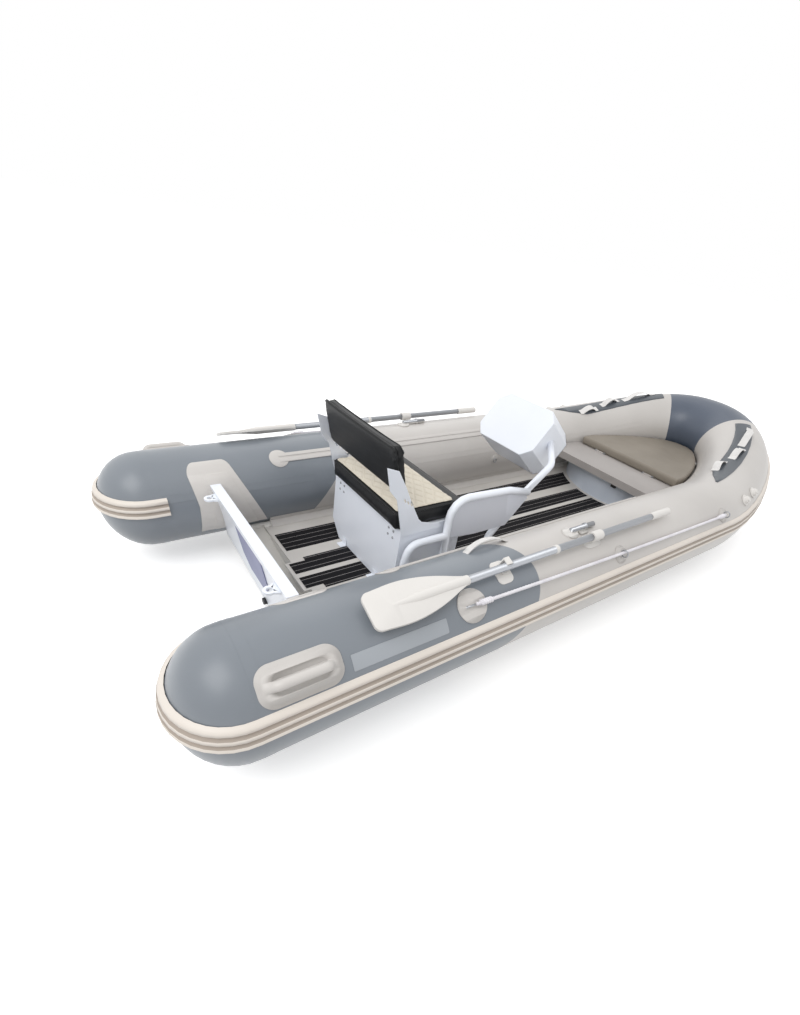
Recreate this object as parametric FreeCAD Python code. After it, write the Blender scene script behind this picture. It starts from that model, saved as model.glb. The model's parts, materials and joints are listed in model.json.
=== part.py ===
import FreeCAD, Part
import math
import os

V = FreeCAD.Vector

# A rigid inflatable boat of 4.2 metres with a V hull of sheet aluminium
# X points to the bow and Y to port. Z points up from the waterline. Sizes are millimetres and degrees

# Inflated tubes
tube_r = 215.0
tube_spacing = 1290.0
tube_draught = 5.0
bow_start = 2650.0
bow_reach = 1083.0
bow_fullness = 1.23
side_fullness = 0.89
sheer_rise = 203.0
sheer_power = 1.85
cap_seam = -45.0
cap_length = 190.0
cap_steps = 10
colour_seam = 880.0
colour_seam_sweep = 190.0
colour_seam_angle = 57.0
bow_panel_turn = 69.0

# Rub strake
strake_low = 12.0
strake_high = 90.0
strake_base = 6.0
strake_ridge = 13.0
strake_ridges = 3
strake_crest = 12.0
strake_flank = 4.0
strake_inboard_end = 15.0
strake_wrap_clear = 2.2

# Fits
gap = 0.3
line_knot = 20.6

# Hull and deck
keel_depth = 64.0
keel_bar = 10.0
keel_bar_half = 12.0
keel_rise_start = 1900.0
keel_rise_power = 3.5
stem_height = 222.0
chine_angle = 225.0
chine_drop = 28.0
chine_inset = 6.0
chine_rim = 10.0
chine_rim_wide = 15.0
spray_rail_place = 0.6
spray_rail_half = 12.0
spray_rail_drop = 9.0
stem_turn = 82.0
hull_clear = 6.0
hull_skin = 14.0
hull_joint = 2890.0
deck_z = 48.0
deck_plate = 8.0
deck_edge = 42.74
deck_start = 430.0
deck_end = 2790.0
deck_tab = 32.0
deck_tab_half = 112.0
strip_start = 465.0
strip_lap = 12.0
strip_high = 18.0
strip_thick = 3.0
mat_thick = 2.0
mat_inner_edge = 17.0
mat_inner_wide = 110.0
mat_outer_edge = 207.0
mat_outer_wide = 156.0
mat_aft_margin = 16.0
mat_notch = 80.0
mat_notch_wide = 28.0
mat_front_margin = 30.0

# Transom
transom_x = 205.0
transom_top = 332.0
transom_plate = 30.0
transom_rake = 9.0
transom_side = 4.8
rail_high = 32.0
rail_deep = 46.0
pad_half = 150.0
pad_high = 205.0
pad_chamfer = 60.0
pad_thick = 4.0
pad_drop = 14.0
eye_y = 358.0
eye_r = 24.0
eye_hole = 12.0
eye_thick = 10.0
eye_reach = 30.0
drain_r = 16.0
drain_length = 14.0
drain_height = 24.0

# Helm seat
seat_aft = 728.0
seat_front = 1062.0
seat_half = 296.0
seat_lean = 22.0
seat_height = 325.0
seat_chamfer = 80.0
seat_wall = 4.0
cushion_high = 77.0
cushion_half = 292.0
cushion_aft = 722.0
cushion_front = 1084.0
panel_side = 12.0
panel_aft = 10.0
panel_front = 50.0
panel_high = 10.0
back_low = 540.0
back_high = 738.0
back_top_x = 683.0
back_rake = 11.5
back_board = 10.0
back_pad = 32.0
bracket_thick = 5.0
bracket_drop = 25.0

# Console
frame_y = -330.0
frame_tube = 17.0
frame_bend = 90.0
frame_leg_x = 969.0
frame_top = 492.0
frame_top_end = 1310.0
frame_joint_x = 1441.0
frame_joint_z = 445.0
brace_x = 722.0
brace_z = 318.0
post_x = 1258.0
post_knee = 232.0
frame_foot = 8.0
bend_steps = 4
pod_wide = 400.0
pod_high = 264.0
pod_corner = 50.0
pod_deep = 200.0
pod_tilt = 49.5
pod_x = 1604.0
pod_z = 650.0
pod_wall = 4.0
panel_thick = 5.0
panel_low = 289.0

# Bow locker and cushion
front_x = 2557.0
front_r = 520.0
front_sheet = 5.0
locker_clear = 3.4
bow_plan_nose = 30.0
bow_deck_z = 246.0
bow_deck_plate = 6.0
lid_aft = 2500.0
lid_hinge = 2784.0
lid_side = 10.0
lid_taper = 16.0
lid_raise = 5.0
lid_sheet = 5.0
lid_lip = 42.0
hatch_rim = 12.0
hatch_fwd = 2762.0
hatch_half = 246.0
hinge_r = 6.0
hinge_leaf = 9.0
bow_pad_aft = 2802.0
bow_pad_high = 58.0
latch_y = -120.0

# Oars and their holders
oar_angle = 66.5
oar_lift = 38.0
shaft_r = 15.0
oar_pivot_x = 1438.0
blade_tip = 335.0
blade_root = 712.0
blade_wide = 146.0
blade_corner = 26.0
blade_rib = 190.0
blade_rib_tip = 105.0
blade_thick = 12.0
grip_start = 1860.0
grip_end = 2002.0
grip_r = 18.0
shaft_joint = 240.0
collar_r = 22.0
collar_long = 60.0
pin_r = 6.0
pin_fit = 0.4
base_high = 10.0
lock_angle = 85.0
lock_lift = 13.0
lock_sleeve = 12.0
lock_long = 150.0
lock_flange = 36.0
clip_x = 912.0
clip_wide = 26.0
clip_wall = 5.0
clip_clear = 6.0

# Fittings on the tubes
patch_thick = 3.0
line_r = 7.0
line_lift = 17.0
d_ring_r = 16.0
d_ring_wire = 3.0
d_ring_lift = 20.0
anchor_x = 725.0
anchor_angle = 46.0
anchor_r = 62.0
ring_mid_x = 1586.0
ring_mid_angle = 39.0
ring_fwd_x = 2533.0
ring_fwd_angle = 37.0
ring_patch_r = 40.0
grab_x = 98.0
grab_angle = 43.0
grab_long = 250.0
grab_wide = 126.0
plate_x = 428.0
plate_angle = 37.0
plate_long = 356.0
plate_wide = 52.0
strap_x = 960.0
strap_angle = 107.0
strap_span = 216.0
strap_wide = 30.0
strap_rise = 34.0
bow_patch_start = 6.0
bow_patch_end = 65.0
bow_patch_low = 89.0
bow_patch_outer = 76.0
bow_patch_inner = 130.0
bow_patch_turn_in = 9.0
bow_patch_nose = 3.0
bow_patch_widest = 124.0
bow_patch_widen = 2.2
bow_patch_narrow = 0.3
band_start = 548.0
band_end = 2080.0
band_angle = 126.5
band_wide = 48.0
band_rail = 18.0
band_high = 5.0
band_patch_r = 47.0
valve_turns = [13, 21]
valve_angle = 42.0
valve_flange = 33.0
valve_body = 22.0
valve_high = 18.0
valve_cap = 14.0

# Worked out from the sizes above
half = tube_spacing / 2
deck_half = half - (tube_r + gap) * math.cos(math.radians(chine_angle - 180)) - deck_edge
tube_sides = 20
axis_z = tube_r - tube_draught
bow_tip = bow_start + bow_reach
deck_under = deck_z - deck_plate
floor_z = deck_z + mat_thick
lid_half_aft = half - tube_r - lid_side
lid_half_fwd = lid_half_aft - lid_taper
seat_top = floor_z + seat_height
cushion_top = seat_top + cushion_high
pod_back = V(math.sin(math.radians(pod_tilt)), 0, -math.cos(math.radians(pod_tilt)))
pod_up = V(math.cos(math.radians(pod_tilt)), 0, math.sin(math.radians(pod_tilt)))
bow_seat_z = bow_deck_z + bow_deck_plate
hatch_aft = front_x + front_r - math.sqrt(front_r ** 2 - hatch_half ** 2) + hatch_rim
post_y = frame_y + frame_tube + panel_thick / 2 + gap

os.makedirs("parts", exist_ok=True)


def save(name, shape):
    shape.exportStep("parts/" + name + ".step")


def mirrored(shape):
    return shape.mirror(V(0, 0, 0), V(0, 1, 0))


def mirrored_point(point):
    return V(point.x, -point.y, point.z)


def both(port_shape):
    return Part.makeCompound([port_shape, mirrored(port_shape)])


def save_pair(name, port_shape):
    save(name + "_port", port_shape)
    save(name + "_starboard", mirrored(port_shape))


def box(x0, x1, y0, y1, z0, z1):
    return Part.makeBox(x1 - x0, y1 - y0, z1 - z0, V(x0, y0, z0))


def flat_face(points):
    return Part.Face(Part.makePolygon(points + [points[0]]))


def prism_xz(outline, y0, y1):
    return flat_face([V(x, y0, z) for x, z in outline]).extrude(V(0, y1 - y0, 0))


def prism_xy(outline, z0, z1):
    return flat_face([V(x, y, z0) for x, y in outline]).extrude(V(0, 0, z1 - z0))


def many_sided(radius, sides):
    turns = [2 * math.pi * i / sides for i in range(sides + 1)]
    return Part.makePolygon([V(radius * math.cos(turn), radius * math.sin(turn), 0) for turn in turns])


def rod(start, end, radius):
    return Part.makeCylinder(radius, (end - start).Length, start, end - start)


# The tube axis in plan: straight sides that close in a full bow, with the sheer lifting it
def sheer(x):
    return sheer_rise * max(0.0, (x - bow_start) / bow_reach) ** sheer_power


def bow_axis(turn):
    s = max(0.0, math.sin(math.radians(turn)))
    c = math.cos(math.radians(turn))
    x = bow_start + bow_reach * s ** bow_fullness
    y = math.copysign(half * abs(c) ** side_fullness, c)
    return V(x, y, axis_z + sheer(x))


def bow_heading(turn):
    step = 0.05
    return (bow_axis(turn + step) - bow_axis(max(0.0, turn - step))).normalize()


def bow_outward(turn):
    heading = bow_heading(turn)
    return V(-heading.y, heading.x, 0).normalize()


def beside_axis(turn, out, up):
    return bow_axis(turn) + bow_outward(turn) * out + V(0, 0, up)


# The turns at which the bow's panels meet, closer where it bends more
bow_turns = [0, 6, 13, 21, 29, 37, 44, 50, 56, 61, 65, 69, 72.5, 76, 79, 82, 85, 87.5, 90]


def smooth_edge(points, start, end):
    curve = Part.BSplineCurve()
    curve.interpolate(points, InitialTangent=start, FinalTangent=end)
    return curve


# A wire drawn across the tube: its X points outboard and its Y up
def across_tube(wire, centre, heading, outward):
    placed = wire.copy()
    upright = heading.cross(outward)
    placed.Placement = FreeCAD.Placement(centre, FreeCAD.Rotation(outward, upright, heading, "ZXY"))
    return placed


def tube_ring(centre, heading, outward, grow=0.0):
    start = FreeCAD.Rotation(heading, colour_seam_angle).multVec(outward)
    return across_tube(Part.Wire(Part.makeCircle(tube_r + grow)), centre, heading, start)


def tube_panels(turns, grow=0.0):
    return [tube_ring(bow_axis(turn), bow_heading(turn), bow_outward(turn), grow) for turn in turns]


# The two colours meet on an oblique ring, farthest forward on the upper outboard side
def colour_ring():
    lean = math.radians(colour_seam_angle)
    centre = V(colour_seam, half, axis_z)
    steep = V(colour_seam_sweep, tube_r * math.cos(lean), tube_r * math.sin(lean))
    level = V(0, -tube_r * math.sin(lean), tube_r * math.cos(lean))
    return Part.Wire(Part.Ellipse(centre + steep, centre + level, centre).toShape())


def aft_tube():
    root = tube_ring(V(cap_seam, half, axis_z), V(1, 0, 0), V(0, 1, 0))
    return Part.makeLoft([root, colour_ring()], True, True)


def forward_tube():
    curved = tube_panels([turn for turn in reversed(bow_turns) if turn <= bow_panel_turn])
    return Part.makeLoft(curved + [colour_ring()], True, True)


def bow_tube():
    port = [turn for turn in bow_turns if turn >= bow_panel_turn]
    starboard = [180 - turn for turn in reversed(port[:-1])]
    return Part.makeLoft(tube_panels(port + starboard), True, True)


def tail_cap():
    centre = V(cap_seam, half, axis_z)
    rim = [centre]
    for step in range(cap_steps + 1):
        angle = math.radians(90 * step / cap_steps)
        rim.append(centre + V(-cap_length * math.sin(angle), tube_r * math.cos(angle), 0))
    return flat_face(rim).revolve(centre, V(1, 0, 0), 360)


# How far the tube's side stands out from its axis at a height, also where the tube climbs
def reach_at(height, climb=0.0):
    return math.sqrt(tube_r ** 2 - (height * math.sqrt(1 - climb ** 2)) ** 2)


# The ribs of the strake, as distances outward from its spine and up
def strake_outline():
    middle = (strake_low + strake_high) / 2
    half_high = (strake_high - strake_low) / 2
    pitch = 2 * half_high / strake_ridges
    inner = []
    for i in range(-3, 4):
        height = half_high * i / 3
        cover = math.sqrt((tube_r + 2 * gap) ** 2 - (middle + height) ** 2) - reach_at(middle)
        inner.append((cover, height))
    outer = []
    for ridge in reversed(range(strake_ridges)):
        centre = -half_high + pitch * (ridge + 0.5)
        for rise, thick in ((1, strake_base), (0, strake_ridge)):
            outer.append((centre + strake_crest / 2 + strake_flank * rise, thick))
        for rise, thick in ((0, strake_ridge), (1, strake_base)):
            outer.append((centre - strake_crest / 2 - strake_flank * rise, thick))
    covers = [math.sqrt(tube_r ** 2 - (middle + height) ** 2) - reach_at(middle) for height, thick in outer]
    return inner + [(cover + thick, height) for cover, (height, thick) in zip(covers, outer)]


# The ribbed strake starts inboard of the tail, wraps round it and runs to the stem
def strake():
    middle = (strake_low + strake_high) / 2
    out = reach_at(middle)
    flat = cap_length / tube_r
    reach = flat * out + (1 - flat) * (out - reach_at(strake_high))
    level = axis_z + middle
    stations = [(V(strake_inboard_end, half - out, level), V(0, -1, 0))]
    for angle in range(0, 181, 10):
        s = math.sin(math.radians(angle))
        c = math.cos(math.radians(angle))
        wide = out + strake_wrap_clear * s
        place = V(cap_seam - (reach + strake_wrap_clear) * s, half - wide * c, level)
        stations.append((place, V(-s / reach, -c / out, 0).normalize()))
    for turn in bow_turns:
        flare = reach_at(strake_high, bow_heading(turn).z) - reach_at(strake_high)
        stations.append((beside_axis(turn, out + flare, middle), bow_outward(turn)))
    rings = []
    for place, outward in stations:
        ring = [place + outward * away + V(0, 0, height) for away, height in strake_outline()]
        rings.append(Part.makePolygon(ring + [ring[0]]))
    return Part.makeLoft(rings, True, True)


# The hull is a V with a keel bar and a spray rail each side, its chines bonded to the tubes
def chine(turn):
    reach = tube_r + gap + hull_clear * math.sin(math.radians(turn))
    out = reach * math.cos(math.radians(chine_angle))
    return beside_axis(turn, out, reach * math.sin(math.radians(chine_angle)))


def keel_z(x):
    run = max(0.0, (x - keel_rise_start) / (chine(stem_turn).x - keel_rise_start))
    return -keel_depth + (stem_height + keel_depth) * run ** keel_rise_power


def hull_section(turn, x, rake=0.0):
    chine_y = chine(turn).y
    chine_z = chine(turn).z
    square = bow_outward(turn).y
    keel = keel_z(x)
    top = max(deck_under, chine_z - chine_drop + chine_rim)
    scale = min(1.0, chine_y / deck_half)
    bar = keel_bar_half * scale
    rail = spray_rail_half * scale
    outer_y = chine_y - chine_inset * scale
    outer_z = chine_z - chine_drop
    slope = (outer_z - keel) / outer_y
    rail_y = spray_rail_place * outer_y
    right = [
        (bar, keel - keel_bar),
        (bar, keel + slope * bar),
        (rail_y - rail, keel + slope * (rail_y - rail)),
        (rail_y - rail / 2, keel + slope * rail_y - spray_rail_drop),
        (rail_y + rail, keel + slope * rail_y - spray_rail_drop),
        (rail_y + rail, keel + slope * (rail_y + rail)),
        (outer_y, outer_z),
        (chine_y, chine_z),
        (chine_y - chine_rim_wide * scale, chine_z + 7 * scale * square),
        (chine_y - (deck_edge - 5) * scale, max(top + 1, chine_z - 6)),
        (chine_y - (deck_edge + gap) * scale, top),
    ]
    outline = right + [(-y, z) for y, z in reversed(right)]
    loop = [V(x + (transom_top - z) * math.tan(math.radians(rake)), y, z) for y, z in outline]
    return Part.makePolygon(loop + [loop[0]])


def hull():
    sections = [hull_section(0, transom_x + transom_plate, transom_rake)]
    sections += [hull_section(0, x) for x in (keel_rise_start, bow_start - tube_r)]
    sections += [hull_section(turn, chine(turn).x) for turn in bow_turns if 0 < turn <= stem_turn]
    solid = Part.makeLoft(sections, True, True)
    seat = box(deck_start - deck_tab, deck_end, -deck_half, deck_half, deck_under, deck_z + deck_plate)
    under_bow = box(front_x, bow_tip, -half, half, bow_deck_z, 2 * bow_deck_z)
    return solid.cut(seat).cut(bilge_well()).cut(under_bow)


# The well between transom and deck follows the V of the bottom
def bilge_well():
    slope = (chine(0).z - chine_drop + keel_depth) / (chine(0).y - chine_inset)
    floor = -keel_depth + hull_skin
    wide = (deck_under - floor) / slope
    outline = [V(transom_x, 0, floor), V(transom_x, wide, deck_under), V(transom_x, wide, deck_z + 20),
               V(transom_x, -wide, deck_z + 20), V(transom_x, -wide, deck_under)]
    return flat_face(outline).extrude(V(deck_start - transom_x, 0, 0))


def deck():
    outline = [(deck_start, deck_half), (deck_end, deck_half), (deck_end, -deck_half), (deck_start, -deck_half),
               (deck_start, -deck_tab_half), (deck_start - deck_tab, -deck_tab_half),
               (deck_start - deck_tab, deck_tab_half), (deck_start, deck_tab_half)]
    return prism_xy(outline, deck_under, deck_z)


# Anti-slip mats in four lanes, their front ends following the curved locker front
def mat(outline):
    centre = V(front_x + front_r, 0, 0)
    clear = Part.makeCylinder(front_r + mat_front_margin, 4 * deck_z, centre, V(0, 0, 1))
    return prism_xy(outline, deck_z, deck_z + mat_thick).cut(clear)


def outer_mat():
    start = deck_start + mat_aft_margin
    return mat([(start, mat_outer_edge), (deck_end, mat_outer_edge),
                (deck_end, mat_outer_edge + mat_outer_wide), (start, mat_outer_edge + mat_outer_wide)])


def inner_mat():
    start = deck_start - deck_tab + mat_aft_margin
    outer = mat_inner_edge + mat_inner_wide
    step = outer - mat_notch_wide
    return mat([(start, mat_inner_edge), (deck_end, mat_inner_edge), (deck_end, outer),
                (start + mat_notch, outer), (start + mat_notch, step), (start, step)])


# The transom leans aft, so its pieces share one raked plane
def raked(forward, y, z):
    return V(transom_x + forward + (transom_top - z) * math.tan(math.radians(transom_rake)), y, z)


def raked_slab(outline, forward, thick):
    return flat_face([raked(forward, y, z) for y, z in outline]).extrude(V(thick, 0, 0))


# How far the transom reaches before it meets the tubes
def transom_half():
    return half - reach_at(transom_top - rail_high - axis_z) - transom_side


def both_tubes(radius):
    port = Part.makeCylinder(radius, 1000, V(-100, half, axis_z), V(1, 0, 0))
    return port.fuse(mirrored(port))


def transom():
    edge = chine(0)
    top = transom_top - rail_high
    low = edge.z - chine_drop
    outline = [(-transom_half(), top), (-edge.y, low), (0, -keel_depth), (edge.y, low), (transom_half(), top)]
    return raked_slab(outline, 0, transom_plate).cut(both_tubes(tube_r + gap))


def transom_rail():
    low = transom_top - rail_high
    end = transom_half()
    outline = [(-end, low), (end, low), (end, transom_top), (-end, transom_top)]
    return raked_slab(outline, (transom_plate - rail_deep) / 2, rail_deep)


def transom_pad(forward):
    top = transom_top - rail_high - pad_drop
    low = top - pad_high
    outline = [(-pad_half, low + pad_chamfer), (-pad_half + pad_chamfer, low), (pad_half - pad_chamfer, low),
               (pad_half, low + pad_chamfer), (pad_half, top), (-pad_half, top)]
    return raked_slab(outline, forward, pad_thick)


def lifting_eye():
    height = transom_top - rail_high / 2
    face = raked((transom_plate - rail_deep) / 2, eye_y, height - eye_thick / 2)
    centre = face - V(eye_reach, 0, eye_thick / 2)
    ring = Part.makeCylinder(eye_r, eye_thick, centre)
    foot = face.x + eye_thick * math.tan(math.radians(transom_rake)) / 2
    neck = prism_xy([(centre.x, eye_y - eye_r * 0.8), (foot, eye_y - eye_r * 1.4),
                     (foot, eye_y + eye_r * 1.4), (centre.x, eye_y + eye_r * 0.8)], centre.z, centre.z + eye_thick)
    lug = ring.fuse(neck).cut(Part.makeCylinder(eye_hole, 3 * eye_thick, centre - V(0, 0, eye_thick)))
    return lug.removeSplitter().cut(transom_rail())


def drain_plug():
    face = raked(0, 0, -keel_depth + drain_height)
    return rod(face - V(drain_length, 0, 0), face + V(drain_r / 2, 0, 0), drain_r).cut(transom())


# The helm seat is a folded box with a cushion, a raked backrest and a bracket each side
def lean_x(z):
    return seat_aft + seat_lean * (z - floor_z) / seat_height


def seat_outline(inset, top):
    side = seat_half - inset
    foot = side - seat_chamfer
    knee = floor_z + seat_chamfer
    return [(-foot, floor_z), (foot, floor_z), (side, knee), (side, top), (-side, top), (-side, knee)]


def seat_box():
    shell = flat_face([V(lean_x(z), y, z) for y, z in seat_outline(0, seat_top)])
    shell = shell.extrude(V(seat_front - seat_aft, 0, 0))
    inside = flat_face([V(lean_x(z) + seat_wall, y, z) for y, z in seat_outline(seat_wall, seat_top - seat_wall)])
    inside = inside.extrude(V(seat_front - seat_aft - 2 * seat_wall, 0, 0))
    return shell.cut(inside)


def rounded_box(x0, x1, side, z0, z1, radius):
    block = box(x0, x1, -side, side, z0, z1)
    upright = [edge for edge in block.Edges if abs(edge.tangentAt(edge.FirstParameter).z) > 0.9]
    return block.makeFillet(radius, upright)


def seat_cushion():
    return rounded_box(cushion_aft, cushion_front, cushion_half, seat_top + gap, cushion_top, 30)


def seat_panel():
    low = cushion_top + gap
    return rounded_box(cushion_aft + panel_aft, cushion_front - panel_front, cushion_half - panel_side,
                       low, low + panel_high, 22)


def back_point(forward, y, z):
    lean = math.radians(back_rake)
    return V(back_top_x + (back_high - z) * math.tan(lean) + forward / math.cos(lean), y, z)


def back_slab(forward, thick, trim):
    corners = [(-seat_half + trim, back_low + trim), (seat_half - trim, back_low + trim),
               (seat_half - trim, back_high), (-seat_half + trim, back_high)]
    slab = flat_face([back_point(forward, y, z) for y, z in corners])
    slab = slab.extrude(V(thick / math.cos(math.radians(back_rake)), 0, 0))
    across = [edge for edge in slab.Edges if abs(edge.tangentAt(edge.FirstParameter).x) > 0.9]
    return slab.makeFillet(24, across)


def seat_bracket():
    foot = seat_top - bracket_drop
    outline = [(lean_x(foot) + 2, foot), (958, foot), (944, foot + 22), (848, foot + 49), (829, foot + 67),
               (775, foot + 172), (751, foot + 223), (709, foot + 300), (654, foot + 321), (674, foot + 224),
               (711, foot + 178)]
    plate = prism_xz(outline, seat_half + gap, seat_half + gap + bracket_thick)
    for i in range(3):
        x = 742 + 17 * i
        slot = prism_xz([(x, foot + 176 - 12 * i), (x + 7, foot + 176 - 12 * i),
                         (x + 16, foot + 158 - 12 * i), (x + 9, foot + 158 - 12 * i)], 0, half)
        plate = plate.cut(slot)
    return plate


def seat_feet():
    feet = []
    for y in (-150, 150):
        sole = box(seat_aft - 34, seat_aft, y - 22, y + 22, floor_z, floor_z + 4)
        feet.append(sole.fuse(box(seat_aft - 4, seat_aft, y - 22, y + 22, floor_z + 4, floor_z + 34)))
    return Part.makeCompound(feet)


# A tube bent from straight runs, each corner turned in a few steps round an arc
def bent_tube(points, radius, bend):
    heading = (points[1] - points[0]).normalize()
    stations = [(points[0], heading)]
    for before, corner, after in zip(points, points[1:], points[2:]):
        back = (before - corner).normalize()
        ahead = (after - corner).normalize()
        angle = back.getAngle(ahead)
        first = corner + back * (bend / math.tan(angle / 2))
        centre = corner + (back + ahead).normalize() * (bend / math.sin(angle / 2))
        axis = (first - centre).cross(back * -1)
        for i in range(bend_steps + 1):
            turn = FreeCAD.Rotation(axis, (180 - math.degrees(angle)) * i / bend_steps)
            stations.append((centre + turn.multVec(first - centre), turn.multVec(back * -1)))
    stations.append((points[-1], (points[-1] - points[-2]).normalize()))
    ring = many_sided(radius, tube_sides)
    side = heading.cross(V(0.1, 0.2, 1))
    rings = []
    for place, heading in stations:
        side = (side - heading * side.dot(heading)).normalize()
        rings.append(across_tube(ring, place, heading, side))
    return Part.makeLoft(rings, True, True)


def foot_plate(x, y):
    return Part.makeCylinder(2 * frame_tube, frame_foot, V(x, y, floor_z))


def console_loop():
    points = [V(frame_leg_x, frame_y, floor_z + frame_foot), V(frame_leg_x, frame_y, frame_top),
              V(frame_top_end, frame_y, frame_top - 14), V(frame_joint_x, frame_y, frame_joint_z)]
    return bent_tube(points, frame_tube, frame_bend).fuse(foot_plate(frame_leg_x, frame_y))


# The post stands behind the panel and leans in to the pod
def console_post():
    entry = V(1677, -pod_wide / 2, 609)
    points = [V(post_x, post_y, floor_z + frame_foot), V(post_x, post_y, post_knee),
              V(frame_joint_x - 5, post_y, frame_joint_z - 17), V(1600, -300, 548), entry]
    return bent_tube(points, frame_tube, 60).fuse(foot_plate(post_x, post_y))


def console_brace():
    points = [V(brace_x, frame_y, floor_z + frame_foot), V(brace_x + 53, frame_y, brace_z),
              V(frame_leg_x, frame_y, brace_z)]
    return bent_tube(points, frame_tube, 60).fuse(foot_plate(brace_x, frame_y))


def console_frame():
    frame = console_loop().fuse(console_post()).fuse(console_brace())
    inside = Part.makeCylinder(2000, pod_wide, V(0, -pod_wide / 2, 0), V(0, 1, 0))
    return frame.cut(inside).removeSplitter()


# The panel fills the loop, its free edge leaning forward beside the post
def console_panel():
    low = panel_low
    outline = [(frame_leg_x, low + 16), (frame_leg_x + 165, low), (post_x + 75, low),
               (frame_joint_x + 5, frame_joint_z - 30), (frame_joint_x - 20, frame_joint_z),
               (frame_top_end, frame_top - 14), (frame_leg_x + 70, frame_top), (frame_leg_x, frame_top - 70)]
    plate = prism_xz(outline, frame_y - panel_thick / 2, frame_y + panel_thick / 2)
    return plate.cut(console_frame())


# The console pod is an eight-sided box with its helm face tilted up to the helmsman
def pod_outline(inset, deep):
    side = pod_wide / 2 - inset
    tall = pod_high / 2 - inset
    cut = pod_corner - inset * 0.6
    centre = V(pod_x, 0, pod_z) + pod_back * deep
    places = [(side - cut, -tall), (side, -tall + cut), (side, tall - cut), (side - cut, tall),
              (-side + cut, tall), (-side, tall - cut), (-side, -tall + cut), (-side + cut, -tall)]
    return flat_face([centre + V(0, y, 0) + pod_up * up for y, up in places])


def pod_shell():
    outer = pod_outline(0, 0).extrude(pod_back * pod_deep)
    inner = pod_outline(pod_wall, pod_wall).extrude(pod_back * pod_deep)
    return outer.cut(inner)


def pod_cover():
    return pod_outline(pod_wall + gap, pod_deep - pod_wall).extrude(pod_back * pod_wall)


# The bow locker has a rolled front sheet, a deck with a hatch, and a lid hinged at its front edge
def front_arc(grow, z0, z1):
    centre = V(front_x + front_r, 0, z0)
    return Part.makeCylinder(front_r + grow, z1 - z0, centre)


# The front sheet stands on the deck, clears the hull's rim and fits the tubes
def locker_front():
    sheet = front_arc(0, deck_z, bow_deck_z).cut(front_arc(-front_sheet, deck_z, bow_deck_z))
    over_rim = chine(bow_turns[3]).z + chine_rim
    foot = inner_wall(bow_turns[2], axis_z, axis_z, 0).y
    keep = box(front_x - 10, front_x + front_r, -foot, foot, deck_z, bow_deck_z)
    keep = keep.fuse(box(front_x - 10, front_x + front_r, -half, half, over_rim, bow_deck_z))
    panels = tube_panels([turn for turn in reversed(bow_turns) if turn < 40], locker_clear)
    start = tube_ring(V(front_x - front_r, half, axis_z), V(1, 0, 0), V(0, 1, 0), locker_clear)
    tube = Part.makeLoft(panels + [start], True, True)
    return sheet.common(keep).cut(tube).cut(mirrored(tube))


# Where the tube's inner wall is nearest between two heights
def inner_wall(turn, low, high, clear):
    level = bow_axis(turn).z
    off = level - min(max(level, low), high)
    out = math.sqrt(tube_r ** 2 - off ** 2) + clear
    place = beside_axis(turn, -out, 0)
    return V(place.x, place.y, low)


def bow_plan(aft, low, high, clear):
    port = [inner_wall(turn, low, high, clear) for turn in bow_turns]
    port = [point for point in port if point.x > aft + 20 and point.y > bow_plan_nose]
    corner = V(aft, port[0].y, low)
    half_plan = [corner] + port
    return flat_face(half_plan + [mirrored_point(point) for point in reversed(half_plan)])


def bow_deck():
    plate = bow_plan(front_x, bow_deck_z, bow_seat_z, locker_clear).extrude(V(0, 0, bow_deck_plate))
    reach = box(hatch_fwd, bow_tip, -half, half, bow_deck_z, bow_seat_z)
    plate = plate.common(front_arc(0, bow_deck_z, bow_seat_z).fuse(reach))
    hatch = box(hatch_aft, hatch_fwd, -hatch_half, hatch_half, bow_deck_z - 1, bow_seat_z + 1)
    return plate.cut(hatch)


def bow_cushion():
    plan = bow_plan(bow_pad_aft, bow_seat_z + gap, bow_seat_z + bow_pad_high, locker_clear)
    return plan.extrude(V(0, 0, bow_pad_high - gap))


def locker_lid():
    low = bow_seat_z + lid_raise
    edge = lid_hinge - hinge_leaf
    plan = [(lid_aft, -lid_half_aft), (edge, -lid_half_fwd), (edge, lid_half_fwd), (lid_aft, lid_half_aft)]
    plate = prism_xy(plan, low, low + lid_sheet)
    lip = box(lid_aft, lid_aft + lid_sheet, -lid_half_aft, lid_half_aft, low - lid_lip, low)
    barrels = []
    for y in (-200, 200):
        barrel = rod(V(lid_hinge, y - 30, low + hinge_r), V(lid_hinge, y + 30, low + hinge_r), hinge_r)
        leaf = box(edge, lid_hinge, y - 30, y + 30, low, low + lid_sheet)
        barrels.append(barrel.fuse(leaf))
    lid = plate.fuse([lip] + barrels)
    bore = rod(V(lid_hinge, -half, low + hinge_r), V(lid_hinge, half, low + hinge_r), hinge_r / 2)
    return lid.cut(bore).removeSplitter()


def lid_hinges():
    low = bow_seat_z
    axis = low + lid_raise + hinge_r
    pieces = []
    for y in (-200, 200):
        pin = rod(V(lid_hinge, y - 42, axis), V(lid_hinge, y + 42, axis), hinge_r / 2 - 0.2)
        for side in (-1, 1):
            ear = box(lid_hinge - 5, lid_hinge + 8, min(side * 31, side * 42) + y, max(side * 31, side * 42) + y,
                      low, axis + hinge_r)
            pin = pin.fuse(ear)
        pieces.append(pin)
    return Part.makeCompound(pieces)


def latch():
    low = bow_deck_z - 75
    face = front_x + front_r - math.sqrt(front_r ** 2 - latch_y ** 2)
    block = box(face - 14, face + 20, latch_y - 17, latch_y + 17, low, low + 46)
    return block.cut(front_arc(gap, 0, bow_deck_z))


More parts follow.
